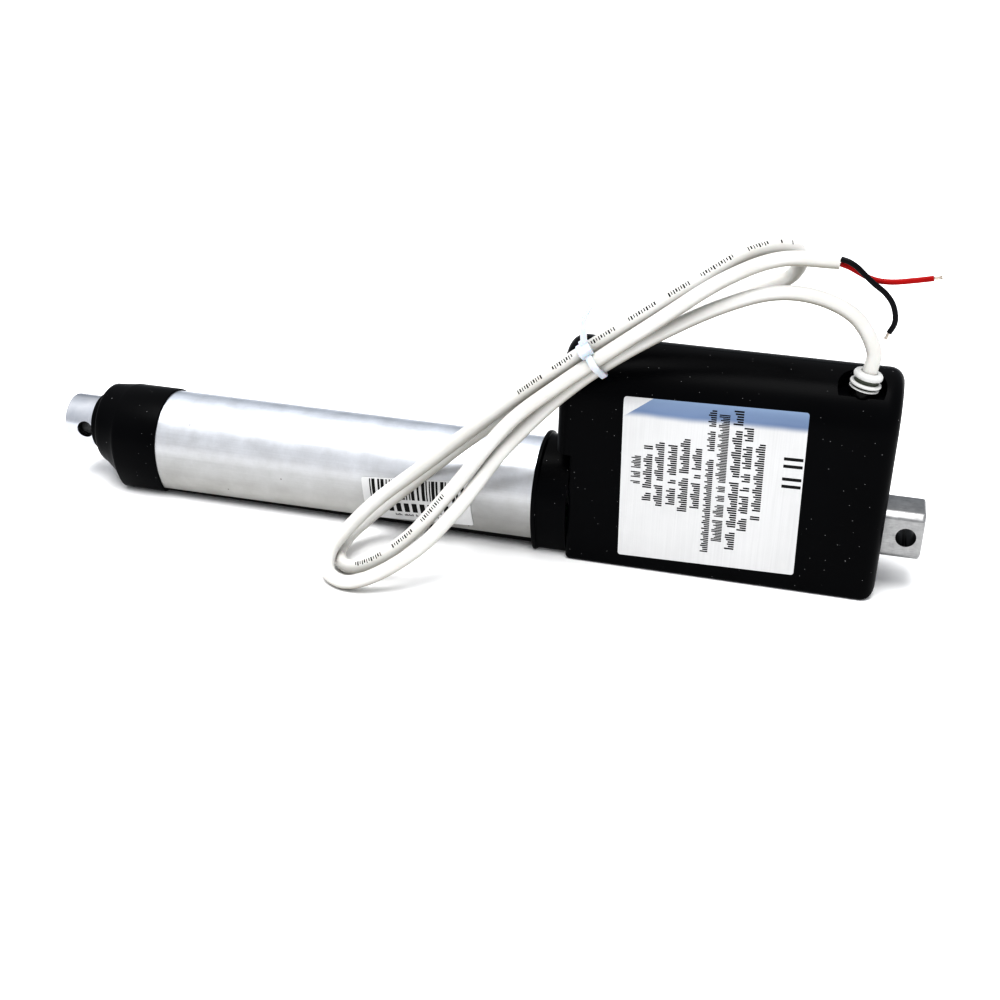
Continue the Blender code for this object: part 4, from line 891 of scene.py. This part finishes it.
def make_tie(route, look):
    """The strap round the bundle's strands, its head, and its free tail."""
    middle = Vector(TIE_AT) * MM
    along = Vector(TIE_ALONG).normalized()
    out = Vector(TIE_OUT)
    out = (out - along * out.dot(along)).normalized()
    across = along.cross(out)
    place = Matrix((across, out, along)).transposed().to_4x4()
    place.translation = middle
    strands = []
    for before, after in zip(route, route[1:]):
        behind = (before - middle).dot(along)
        ahead = (after - middle).dot(along)
        if behind * ahead < 0 and (before - middle).length < 25 * MM:
            at = before.lerp(after, behind / (behind - ahead)) - middle
            strands.append(Vector((at.dot(across), at.dot(out))))
    strands.sort(key=lambda strand: math.atan2(strand.y, strand.x))
    half = TIE_WIDTH / 2
    outer_r = CABLE_R + TIE_GAP + TIE_THICK
    inner = belt_outline(strands, CABLE_R + 0.12 * MM)
    outer = belt_outline(strands, outer_r)
    soft = belt_outline(strands, outer_r - TIE_SOFT)
    front = ((inner, half), (soft, half), (outer, half - TIE_SOFT))
    corners = [*front, *((line, -w) for line, w in reversed(front))]
    rings = [[place @ Vector((u, v, w)) for u, v in line] for line, w in corners]
    strap = loft("tie_strap", rings, look, closed=True, sharp=60)
    top = max(v for u, v in outer)
    wide, tall, long = TIE_HEAD
    low = Vector((TIE_HEAD_ACROSS - wide / 2, top - TIE_HEAD_SUNK, -long / 2))
    head = box("tie_head", low, low + Vector(TIE_HEAD), look, 0.6 * MM)
    head.data.transform(place)
    start = place @ Vector((TIE_HEAD_ACROSS, top + 0.6 * MM, 0))
    centres = smooth_route(TIE_TAIL, 5)
    rings = []
    for index, point in enumerate(centres):
        before = centres[max(index - 1, 0)]
        after = centres[min(index + 1, len(centres) - 1)]
        heading = (after - before).normalized()
        side = (along - heading * along.dot(heading)).normalized()
        side *= TIE_WIDTH / 2 * (1.0 - 0.5 * (index / len(centres)) ** 2)
        face = heading.cross(side).normalized() * TIE_TAIL_THICK / 2
        rib = 1.0 if index % 2 else 0.82
        shape = ((-1, -0.6), (-1, 0.6), (-0.8, rib), (0.8, rib), (1, 0.6), (1, -0.6))
        rings.append([start + point + side * u + face * v for u, v in shape])
    tail = loft("tie_tail", rings, look, sharp=50)
    return piece(joined("nylon_tie", strap, head, tail), "tie_nylon", "cable_tie")


# ---------------------------------------------------------------- housing


def block_room(name, x0, x1, room, look=None, edge=0.0):
    """A box round the mounting block's section, larger by room on every side."""
    low = (x0 * MM, -BLOCK_HALF - room, AXIS_Z - BLOCK_RISE - room)
    high = (x1 * MM, BLOCK_HALF + room, AXIS_Z + BLOCK_RISE + room)
    return box(name, low, high, look, edge)


def make_housing(look):
    """Both shells: a rounded outer form, a plain inner hollow, and the seam between them."""
    for name, node, side in (
        ("front_shell", "housing_front_shell", -1),
        ("back_shell", "housing_back_shell", 1),
    ):
        shell = rounded_block(name, HOUSING_X0, HOUSING_X1, HOUSING_END_R, 0.0, look)
        notch = box("notch", (20 * MM, -30 * MM, -10 * MM), (47 * MM, 30 * MM, 41.4 * MM))
        cut(notch, rounded_block("lower", 41 * MM, 90 * MM, NOTCH_END_R, 0.02 * MM))
        cut(shell, notch)
        near, far = sorted((side * SEAM_HALF, -side * 50 * MM))
        tools = [
            housing_loft("hollow", ((44 * MM, HOUSING_WALL), (128 * MM, HOUSING_WALL))),
            box("rear", (120 * MM, -15.6 * MM, 3 * MM), (146 * MM, 15.6 * MM, 66 * MM)),
            box("half", (0, near, -20 * MM), (200 * MM, far, 120 * MM)),
        ]
        if side < 0:
            tools += [
                cylinder("pocket", POCKET_R, POCKET_FLOOR_Z, 90 * MM, "Z", POCKET_AT),
                cylinder("gland_way", GLAND_WAY_R, 60 * MM, 80 * MM, "Z", GLAND_AT[:2], 40),
            ]
        tools.append(block_room("block_way", 140, 160, FIT_CLEAR))
        tools.append(cylinder("rod_way", ROD_WAY_R, 30 * MM, 50 * MM, "X", (0, AXIS_Z)))
        if side > 0:
            for x, z in SCREW_POSTS:
                centre = (x * MM, z * MM)
                tools.append(cylinder("head_hole", HEAD_HOLE_R, 14 * MM, 30 * MM, "Y", centre, 40))
        cut(shell, *tools)
        piece(shell, "black_plastic", node)
    boss = block_room("block_boss", 146, 150.6, BOSS_WALL, look, 0.5 * MM)
    cut(boss, block_room("way", 140, 160, FIT_CLEAR))
    piece(boss, "black_plastic")


def make_housing_screws(look):
    """The back shell's screws, each with a cross recess."""
    for index, (x, z) in enumerate(SCREW_POSTS):
        profile = [(radius * MM, height * MM) for radius, height in SCREW_PROFILE]
        place = Matrix.Translation((x * MM, 0, z * MM)) @ TURN_TO["Y"]
        screw = turned(f"shell_screw_{index + 1}", profile, place, look, 40)
        tools = []
        for long, wide in (SCREW_RECESS, SCREW_RECESS[::-1]):
            low = ((x - long) * MM, 15.3 * MM, (z - wide) * MM)
            high = ((x + long) * MM, 17 * MM, (z + wide) * MM)
            tools.append(box("recess", low, high))
        cut(screw, *tools)
        piece(screw, "steel", f"housing_screw_{index + 1}")


# ---------------------------------------------------------------- tube, cap and rod


def make_tube_group(looks):
    """The tube as a plain sleeve, and the collar with its lip over the tube's rear end."""
    front = CAP_REAR_X - 0.5 * MM
    rear = COLLAR_REAR_X - 0.3 * MM
    wall = ((front, 0.0), (rear, 0.0), (rear, -TUBE_WALL), (front, -TUBE_WALL))
    piece(sleeve("tube_profile", wall, looks["tube"]), "tube_alloy", "outer_tube")
    lip_x = COLLAR_FRONT_X + LIP_LONG
    corners = [(COLLAR_FRONT_X, COLLAR_INNER)]
    corners += [(COLLAR_FRONT_X + LIP_SOFT * c, LIP_PROUD - LIP_SOFT * s) for c, s in quarter(6)]
    corners += [(lip_x - LIP_SOFT * s, LIP_PROUD - LIP_SOFT * c) for c, s in quarter(6)]
    corners += [(lip_x, COLLAR_PROUD + 0.3 * MM), (lip_x + 0.3 * MM, COLLAR_PROUD)]
    corners += [(COLLAR_REAR_X, COLLAR_PROUD), (COLLAR_REAR_X, COLLAR_INNER)]
    piece(sleeve("collar_sleeve", corners, looks["black"]), "black_plastic", "tube_collar")


def resampled(outline, centre_z, count):
    """Where count rays from (0, centre_z) meet an outline."""
    found = []
    for k in range(count):
        angle = 2 * math.pi * k / count - math.pi / 2
        ray = Vector((math.cos(angle), math.sin(angle)))
        for (y0, z0), (y1, z1) in zip(outline, outline[1:] + outline[:1]):
            start = Vector((y0, z0 - centre_z))
            edge = Vector((y1 - y0, z1 - z0))
            cross = ray.x * edge.y - ray.y * edge.x
            if abs(cross) < 1e-12:
                continue
            reach = (start.x * edge.y - start.y * edge.x) / cross
            share = (start.x * ray.y - start.y * ray.x) / cross
            if reach > 0 and -1e-6 <= share <= 1 + 1e-6:
                found.append(ray * reach)
                break
    return found


def make_front_cap(look):
    """The cap from its round nose out to the tube's profile, open inside for the rod."""
    full = resampled(tube_outline(CAP_PROUD), AXIS_Z, 192)
    unit = [point.normalized() for point in full]
    face = CAP_FACE_X
    nose = [(face + NOSE_SOFT * c, NOSE_R - NOSE_SOFT * s) for c, s in quarter(5)]
    nose.append((face + 3.2 * MM, NOSE_R))
    nose += [(face + x * MM, NOSE_R + (SHOULDER_R - NOSE_R) * share) for x, share in TO_SHOULDER]
    body = [(face + x * MM, share) for x, share in TO_BODY]
    body += [(CAP_BODY_X + x * MM, share) for x, share in AT_BODY]
    rear = ((CAP_REAR_X - 0.5 * MM, 1.0), (CAP_REAR_X - 0.15 * MM, 0.995), (CAP_REAR_X, 0.985))
    inside = (
        (CAP_REAR_X, CAP_INNER_R),
        (face + 5.0 * MM, CAP_INNER_R),
        (face + 5.0 * MM, CAP_BORE_R),
        (face + 0.3 * MM, CAP_BORE_R),
        (face, CAP_BORE_R + 0.4 * MM),
    )
    stations = [(x, [u * reach for u in unit]) for x, reach in nose]
    for x, share in body:
        stations.append((x, [(u * SHOULDER_R).lerp(far, share) for u, far in zip(unit, full)]))
    stations += [(x, [point * share for point in full]) for x, share in rear]
    stations += [(x, [u * reach for u in unit]) for x, reach in inside]
    rings = [[(x, p.x, AXIS_Z + p.y) for p in ring] for x, ring in stations]
    cap = loft("nose_cap", rings, look, closed=True, sharp=50)
    piece(cap, "black_plastic", "front_cap")


def countersinks(x, y, wide, narrow, deep):
    """Tools for both ends of a cross hole at x, whose mouths are y to either side."""
    profile = ((0.0, 2 * MM), (wide * MM, 2 * MM), (narrow * MM, -deep * MM), (0.0, -deep * MM))
    tools = []
    for side in (-1, 1):
        turn = Matrix.Rotation(-side * math.pi / 2, 4, "X")
        place = Matrix.Translation((x, side * y, AXIS_Z)) @ turn
        tools.append(turned("sink", profile, place))
    return tools


def cross_hole(name, x, radius, sides):
    """A tool for a hole across the spindle line."""
    return cylinder(name, radius, -CROSS_REACH, CROSS_REACH, "Y", (x, AXIS_Z), sides)


def make_rod(look):
    """The rod with its softened tip and the countersunk cross hole."""
    tip = [(ROD_R - ROD_SOFT * c, -ROD_TIP_X - ROD_SOFT * s) for c, s in quarter(5)]
    profile = [(ROD_CORE_R, -ROD_INNER_X), (ROD_R, -ROD_INNER_X), *tip, (ROD_CORE_R, -ROD_TIP_X)]
    place = Matrix.Translation((0, 0, AXIS_Z)) @ Matrix.Rotation(-math.pi / 2, 4, "Y")
    rod = turned("sliding_rod", profile, place, look, 128)
    eye = cross_hole("eye", EYE_X, EYE_R, 72)
    cut(rod, eye, *countersinks(EYE_X, 9.9 * MM, 5.2, 2.6, 0.9))
    piece(rod, "rod_metal", "inner_rod", body="rod")


def make_block(look):
    """The square bar: broad chamfers on its long edges, softened end, countersunk hole."""
    near_y, near_z = BLOCK_HALF - BLOCK_CHAMFER, BLOCK_RISE - BLOCK_CHAMFER
    corner = [(BLOCK_HALF, near_z), (near_y, BLOCK_RISE)]
    upper = corner + [(-y, z) for y, z in reversed(corner)]
    outline = upper + [(-y, -z) for y, z in upper]
    stations = [(BLOCK_START_X, 1.0)]
    for c, s in quarter(5):
        stations.append((BLOCK_END_X - BLOCK_SOFT * s, 1 - BLOCK_SOFT * c / BLOCK_HALF))
    rings = [[(x, y * share, z * share + AXIS_Z) for y, z in outline] for x, share in stations]
    block = loft("mount_block", rings, look)
    baked(block, soften=0.7 * MM)
    hole = cross_hole("hole", BLOCK_HOLE_X, BLOCK_HOLE_R, 72)
    pin = cross_hole("pin", CROSS_PIN_X, CROSS_PIN_R, 32)
    cut(block, hole, pin, *countersinks(BLOCK_HOLE_X, BLOCK_HALF, 5.4, 3.0, 0.4))
    piece(block, "block_alloy", "rear_mount_block")


def make_gland(look):
    """The ringed strain relief round the cable."""
    bore = CABLE_R + 0.15 * MM
    profile = [(radius * MM, height * MM) for radius, height in GLAND_PROFILE]
    profile += [(bore, profile[-1][1]), (bore, GLAND_TOP - 0.2 * MM), (bore + 0.2 * MM, GLAND_TOP)]
    place = Matrix.Translation(GLAND_AT) @ Matrix.Rotation(GLAND_LEAN, 4, "Y")
    gland = turned("strain_relief", profile, place, look, 96, sharp=50)
    piece(gland, "gland_plastic", "cable_gland")


# ---------------------------------------------------------------- label and sticker


def housing_skin(x, reach, proud):
    """A point on the housing's -Y side, reach measured up the skin from the floor."""
    if reach <= CROWN_Z:
        return Vector((x, -HOUSING_HALF - proud, reach))
    turn = (reach - CROWN_Z) / HOUSING_HALF
    radius = HOUSING_HALF + proud
    return Vector((x, -radius * math.cos(turn), CROWN_Z + radius * math.sin(turn)))


def tube_skin(x, reach, proud):
    """A point on the tube's -Y side, reach measured up the skin from its widest line."""
    base = TUBE_R if reach >= 0 else TUBE_SIDE_R
    turn = reach / base
    across = TUBE_R - base + (base + proud) * math.cos(turn)
    return Vector((x, -across, TUBE_CENTRE_Z + (base + proud) * math.sin(turn)))


class Print:
    """A flat sheet's own (u, v) in metres from its centre, laid on a skin with a turn."""

    def __init__(self, skin, centre, turn):
        self.skin = skin
        self.centre = centre
        self.turn = turn

    def at(self, u, v, proud):
        x = self.centre[0] + u * math.cos(self.turn) - v * math.sin(self.turn)
        reach = self.centre[1] + u * math.sin(self.turn) + v * math.cos(self.turn)
        return self.skin(x, reach, proud)

    def sheet(self, name, size, corner, look):
        """The sheet itself, with rounded corners and a thickness."""
        half_w, half_h = size[0] / 2, size[1] / 2
        columns, count = (int(side / SHEET_STEP) for side in size)
        heights = {-half_h + size[1] * k / count for k in range(count + 1)}
        for c, _ in quarter(5)[1:-1]:
            heights |= {-half_h + corner * c, half_h - corner * c}
        heights = sorted(heights)
        bm = bmesh.new()
        layers = []
        for proud in (SHEET_GAP, SHEET_GAP + SHEET):
            layer = []
            for v in heights:
                into = max(0.0, corner - half_h + abs(v))
                reach = half_w - corner + math.sqrt(max(0.0, corner**2 - into**2))
                us = [-reach + 2 * reach * k / columns for k in range(columns + 1)]
                layer.append([bm.verts.new(self.at(u, v, proud)) for u in us])
            stitch(bm, layer)
            layers.append(layer)
        last = len(heights) - 1
        rim = [(0, k) for k in range(columns)] + [(r, columns) for r in range(last)]
        rim += [(last, k) for k in range(columns, 0, -1)] + [(r, 0) for r in range(last, -1, -1)]
        stitch(bm, [[layer[r][k] for r, k in rim] for layer in layers])
        return add_mesh(name, bm, look, 50)

    def patches(self, name, rectangles, look):
        """Thin printed rectangles (u0, v0, u1, v1) just above the sheet."""
        bm = bmesh.new()
        lift = SHEET_GAP + SHEET + INK
        for u0, v0, u1, v1 in rectangles:
            parts = max(1, int((v1 - v0) / (1.2 * MM)))
            vs = [v0 + (v1 - v0) * k / parts for k in range(parts + 1)]
            stitch(bm, [[bm.verts.new(self.at(u, v, lift)) for u in (u0, u1)] for v in vs])
        return add_mesh(name, bm, look, 80)


def stems(start, length, pitch, seed):
    """A printed line as plain stems: from, to and their height's share."""
    found = []
    for index in range(round(length / pitch)):
        pick = (math.sin(seed * 12.9898 + index * 78.233) * 43758.5453) % 1.0
        if pick < 0.1:
            continue
        first = start + index * pitch
        second = first + 0.5 * pitch
        found.append((first, first + STEM_SHARE * pitch, (1.0, 0.72, 0.86)[index % 3]))
        found.append((second, second + STEM_SHARE * pitch, (0.66, 1.0, 0.6)[(index + seed) % 3]))
    return found


def make_label(look, black):
    """The rating label: rows of plain stems in place of its print, read from the side."""
    sheet = Print(housing_skin, LABEL_CENTRE, LABEL_TURN)
    body = sheet.sheet("foil_label", LABEL_SIZE, 1.0 * MM, look)
    piece(body, "label_foil", "rating_label")
    half_w, half_h = LABEL_SIZE[0] / 2, LABEL_SIZE[1] / 2
    rectangles = []
    for index, (across, low, length, tall, pitch) in enumerate(LABEL_ROWS):
        foot = -half_w + LABEL_SIZE[0] * across + tall * MM / 2
        start = -half_h + LABEL_SIZE[1] * low
        for v0, v1, share in stems(start, LABEL_SIZE[1] * length, pitch * MM, index):
            rectangles.append((foot - tall * MM * share, v0, foot, v1))
    bar_u = -half_w + LABEL_SIZE[0] * BARS_ACROSS
    for height in BARS_UP:
        for shift in BARS_SHIFT:
            low = -half_h + LABEL_SIZE[1] * height + shift
            rectangles.append((bar_u - 3.4 * MM, low, bar_u + 3.0 * MM, low + 1.1 * MM))
    piece(sheet.patches("label_marks", rectangles, black), "label_foil")


def make_sticker(look, black):
    """The small sticker: plain upright bars and two rows of blocks under them."""
    sheet = Print(tube_skin, STICKER_CENTRE, STICKER_TURN)
    body = sheet.sheet("bar_sticker", STICKER_SIZE, 0.8 * MM, look)
    piece(body, "sticker_paper", "barcode_sticker")
    half_w, half_h = STICKER_SIZE[0] / 2, STICKER_SIZE[1] / 2
    rectangles = []
    run = -half_w + 3.0 * MM
    index = 0
    while run < half_w - 3.0 * MM:
        wide = (0.45, 0.75, 1.2, 0.5, 0.95)[(index * index + index) % 5] * MM
        rectangles.append((run, half_h - 8.4 * MM, run + wide, half_h - 0.5 * MM))
        run += wide + (0.45, 0.8, 0.5, 1.1)[(index * 3 + index // 4) % 4] * MM
        index += 1
    for index in range(8):
        low = -half_w * 0.55 + index * 3.1 * MM
        rectangles.append((low, -half_h + 4.5 * MM, low + 1.9 * MM, -half_h + 8.6 * MM))
    foot = -half_h + 2.4 * MM
    for u0, u1, share in stems(-half_w * 0.45, half_w * 0.9, 0.9 * MM, 9):
        rectangles.append((u0, foot, u1, foot + 1.1 * MM * share))
    piece(sheet.patches("sticker_marks", rectangles, black), "sticker_paper")


# ---------------------------------------------------------------- inner pieces and studio


def paint_inner_nodes(looks):
    """Better materials for the CAD nodes that stay."""
    chosen = {
        "steel": (
            "lead_screw", "bearing_inner_race", "bearing_outer_race", "spindle_clip",
            "gearbox_plate", "reduction_shaft", "motor_shaft", "motor_can", "mount_cross_pin",
        ),
        "black": ("motor_end_cap", "limit_switch_extended", "limit_switch_retracted"),
        "cast": ("bearing_carrier",),
        "brass": ("motor_pinion", "motor_terminal_1", "motor_terminal_2"),
        "nylon": ("drive_nut", "guide_bush", "reduction_wheel", "reduction_pinion", "spindle_gear"),
        "rubber": ("rod_wiper",),
        "board": ("limit_switch_board",),
        "block": ("rod_end_plug",),
    }
    for look, nodes in chosen.items():
        for node in nodes:
            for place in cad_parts[node].material_slots:
                place.material = looks[look]


def make_sky():
    """The room's light as a sky, brightest overhead and towards the viewer's side and greyer at
    the back, with a plain white backdrop where the sky itself is seen."""
    world = bpy.data.worlds.new("studio")
    bpy.context.scene.world = world
    n = Nodes(world, "Background")
    where = n.axes(n.make("TexCoord", "Generated", {}))
    height = n.math("SUBTRACT", where["Z"], n.range(where["Y"], 0.0, SKY_BACK, 0.1))
    stops = [((position + 1) / 2, colour) for position, colour in SKY]
    sky = n.ramp(n.range(height, 0.0, 1.0, -1.0), *stops)
    n.set(Color=n.mix(n.make("LightPath", "Is Camera Ray", {}), sky, BACKDROP))
    n.set(Strength=SKY_STRENGTH)


def make_studio():
    """A white floor, a bright room and two broad soft lights from above."""
    bm = bmesh.new()
    bmesh.ops.create_grid(bm, x_segments=1, y_segments=1, size=FLOOR_REACH)
    n = material("pale floor", Roughness=0.9, Specular_IOR_Level=0.1)
    n.set(Base_Color=n.ramp(n.noise(n.place(), 3.0, 2.0), (0.3, 0.91), (0.7, 0.93)))
    add_mesh("studio_floor", bm, n.owner)
    make_sky()
    for name, heading, height, spread, strength in SUNS:
        data = bpy.data.lights.new(name, "SUN")
        data.angle = math.radians(spread)
        data.energy = strength
        light = shown(name, data)
        light.rotation_euler = (math.radians(90 - height), 0, math.radians(heading))
    view = bpy.context.scene.view_settings
    view.view_transform = "Standard"
    view.gamma = VIEW_GAMMA


def make_camera():
    """The camera as it was fitted to the photograph."""
    data = bpy.data.cameras.new("camera")
    data.lens = CAMERA_LENS
    data.clip_start = 0.01
    camera = shown("camera", data)
    camera.matrix_world = (
        Matrix.Translation(CAMERA_AT)
        @ Matrix.Rotation(CAMERA_HEADING, 4, "Z")
        @ Matrix.Rotation(math.pi / 2 - CAMERA_DOWN, 4, "X")
        @ Matrix.Rotation(CAMERA_ROLL, 4, "Z")
    )
    bpy.context.scene.camera = camera


# ---------------------------------------------------------------- build

# Each moulding's darker and lighter tone and its roughness from and to
NYLON = ((0.62, 0.60, 0.52), (0.74, 0.72, 0.65), (0.35, 0.5))
TIE_NYLON = ((0.50, 0.54, 0.58), (0.60, 0.64, 0.68), (0.22, 0.34))
WHITE_PLASTIC = ((0.50, 0.50, 0.49), (0.60, 0.60, 0.59), (0.25, 0.38))
JACKET = ((0.57, 0.56, 0.53), (0.64, 0.635, 0.62), (0.28, 0.42))
RED = ((0.26, 0.002, 0.002), (0.40, 0.006, 0.005), (0.28, 0.4))
BLACK = ((0.003, 0.003, 0.004), (0.008, 0.008, 0.010), (0.25, 0.4))
LOOKS = {
    "black": black_plastic(),
    "tube": tube_alloy(),
    "rod": rod_metal(),
    "block": block_alloy(),
    "steel": plain_metal("machined steel", (0.40, 0.41, 0.42), (0.60, 0.61, 0.62)),
    "cast": plain_metal("cast alloy", (0.36, 0.36, 0.36), (0.52, 0.52, 0.53), (0.45, 0.6)),
    "brass": plain_metal("brass", (0.62, 0.46, 0.22), (0.80, 0.62, 0.34)),
    "copper": plain_metal("tinned copper", (0.42, 0.36, 0.30), (0.66, 0.62, 0.57)),
    "nylon": moulding("natural nylon", *NYLON, through=0.1),
    "tie": moulding("tie nylon", *TIE_NYLON, through=0.3),
    # painted shade in the gland's grooves
    "gland": moulding("white plastic", *WHITE_PLASTIC, gloss=0.12, within=groove_shaded),
    # painted shade on the cable's underside
    "cable": moulding("cable jacket", *JACKET, 55.0, through=0.03, gloss=0.4, within=underside_shaded),
    "red": moulding("red insulation", *RED, gloss=0.12),
    "black_wire": moulding("black insulation", *BLACK, gloss=0.1),
    "rubber": moulding("seal rubber", (0.010, 0.010, 0.010), (0.03, 0.03, 0.03), (0.6, 0.8)),
    "board": board_material(),
    "foil": label_foil(),
    "paper": sticker_paper(),
    "ink": ink(),
}
make_camera()
cable, cable_line = make_cords(LOOKS)
tie = make_tie(cable_line, LOOKS["tie"])
cable_marks = make_print(cable_line, LOOKS["ink"])
make_gland(LOOKS["gland"])
make_housing(LOOKS["black"])
make_housing_screws(LOOKS["steel"])
make_tube_group(LOOKS)
make_front_cap(LOOKS["black"])
make_rod(LOOKS["rod"])
make_block(LOOKS["block"])
make_label(LOOKS["foil"], LOOKS["ink"])
make_sticker(LOOKS["paper"], LOOKS["ink"])
paint_inner_nodes(LOOKS)
make_studio()
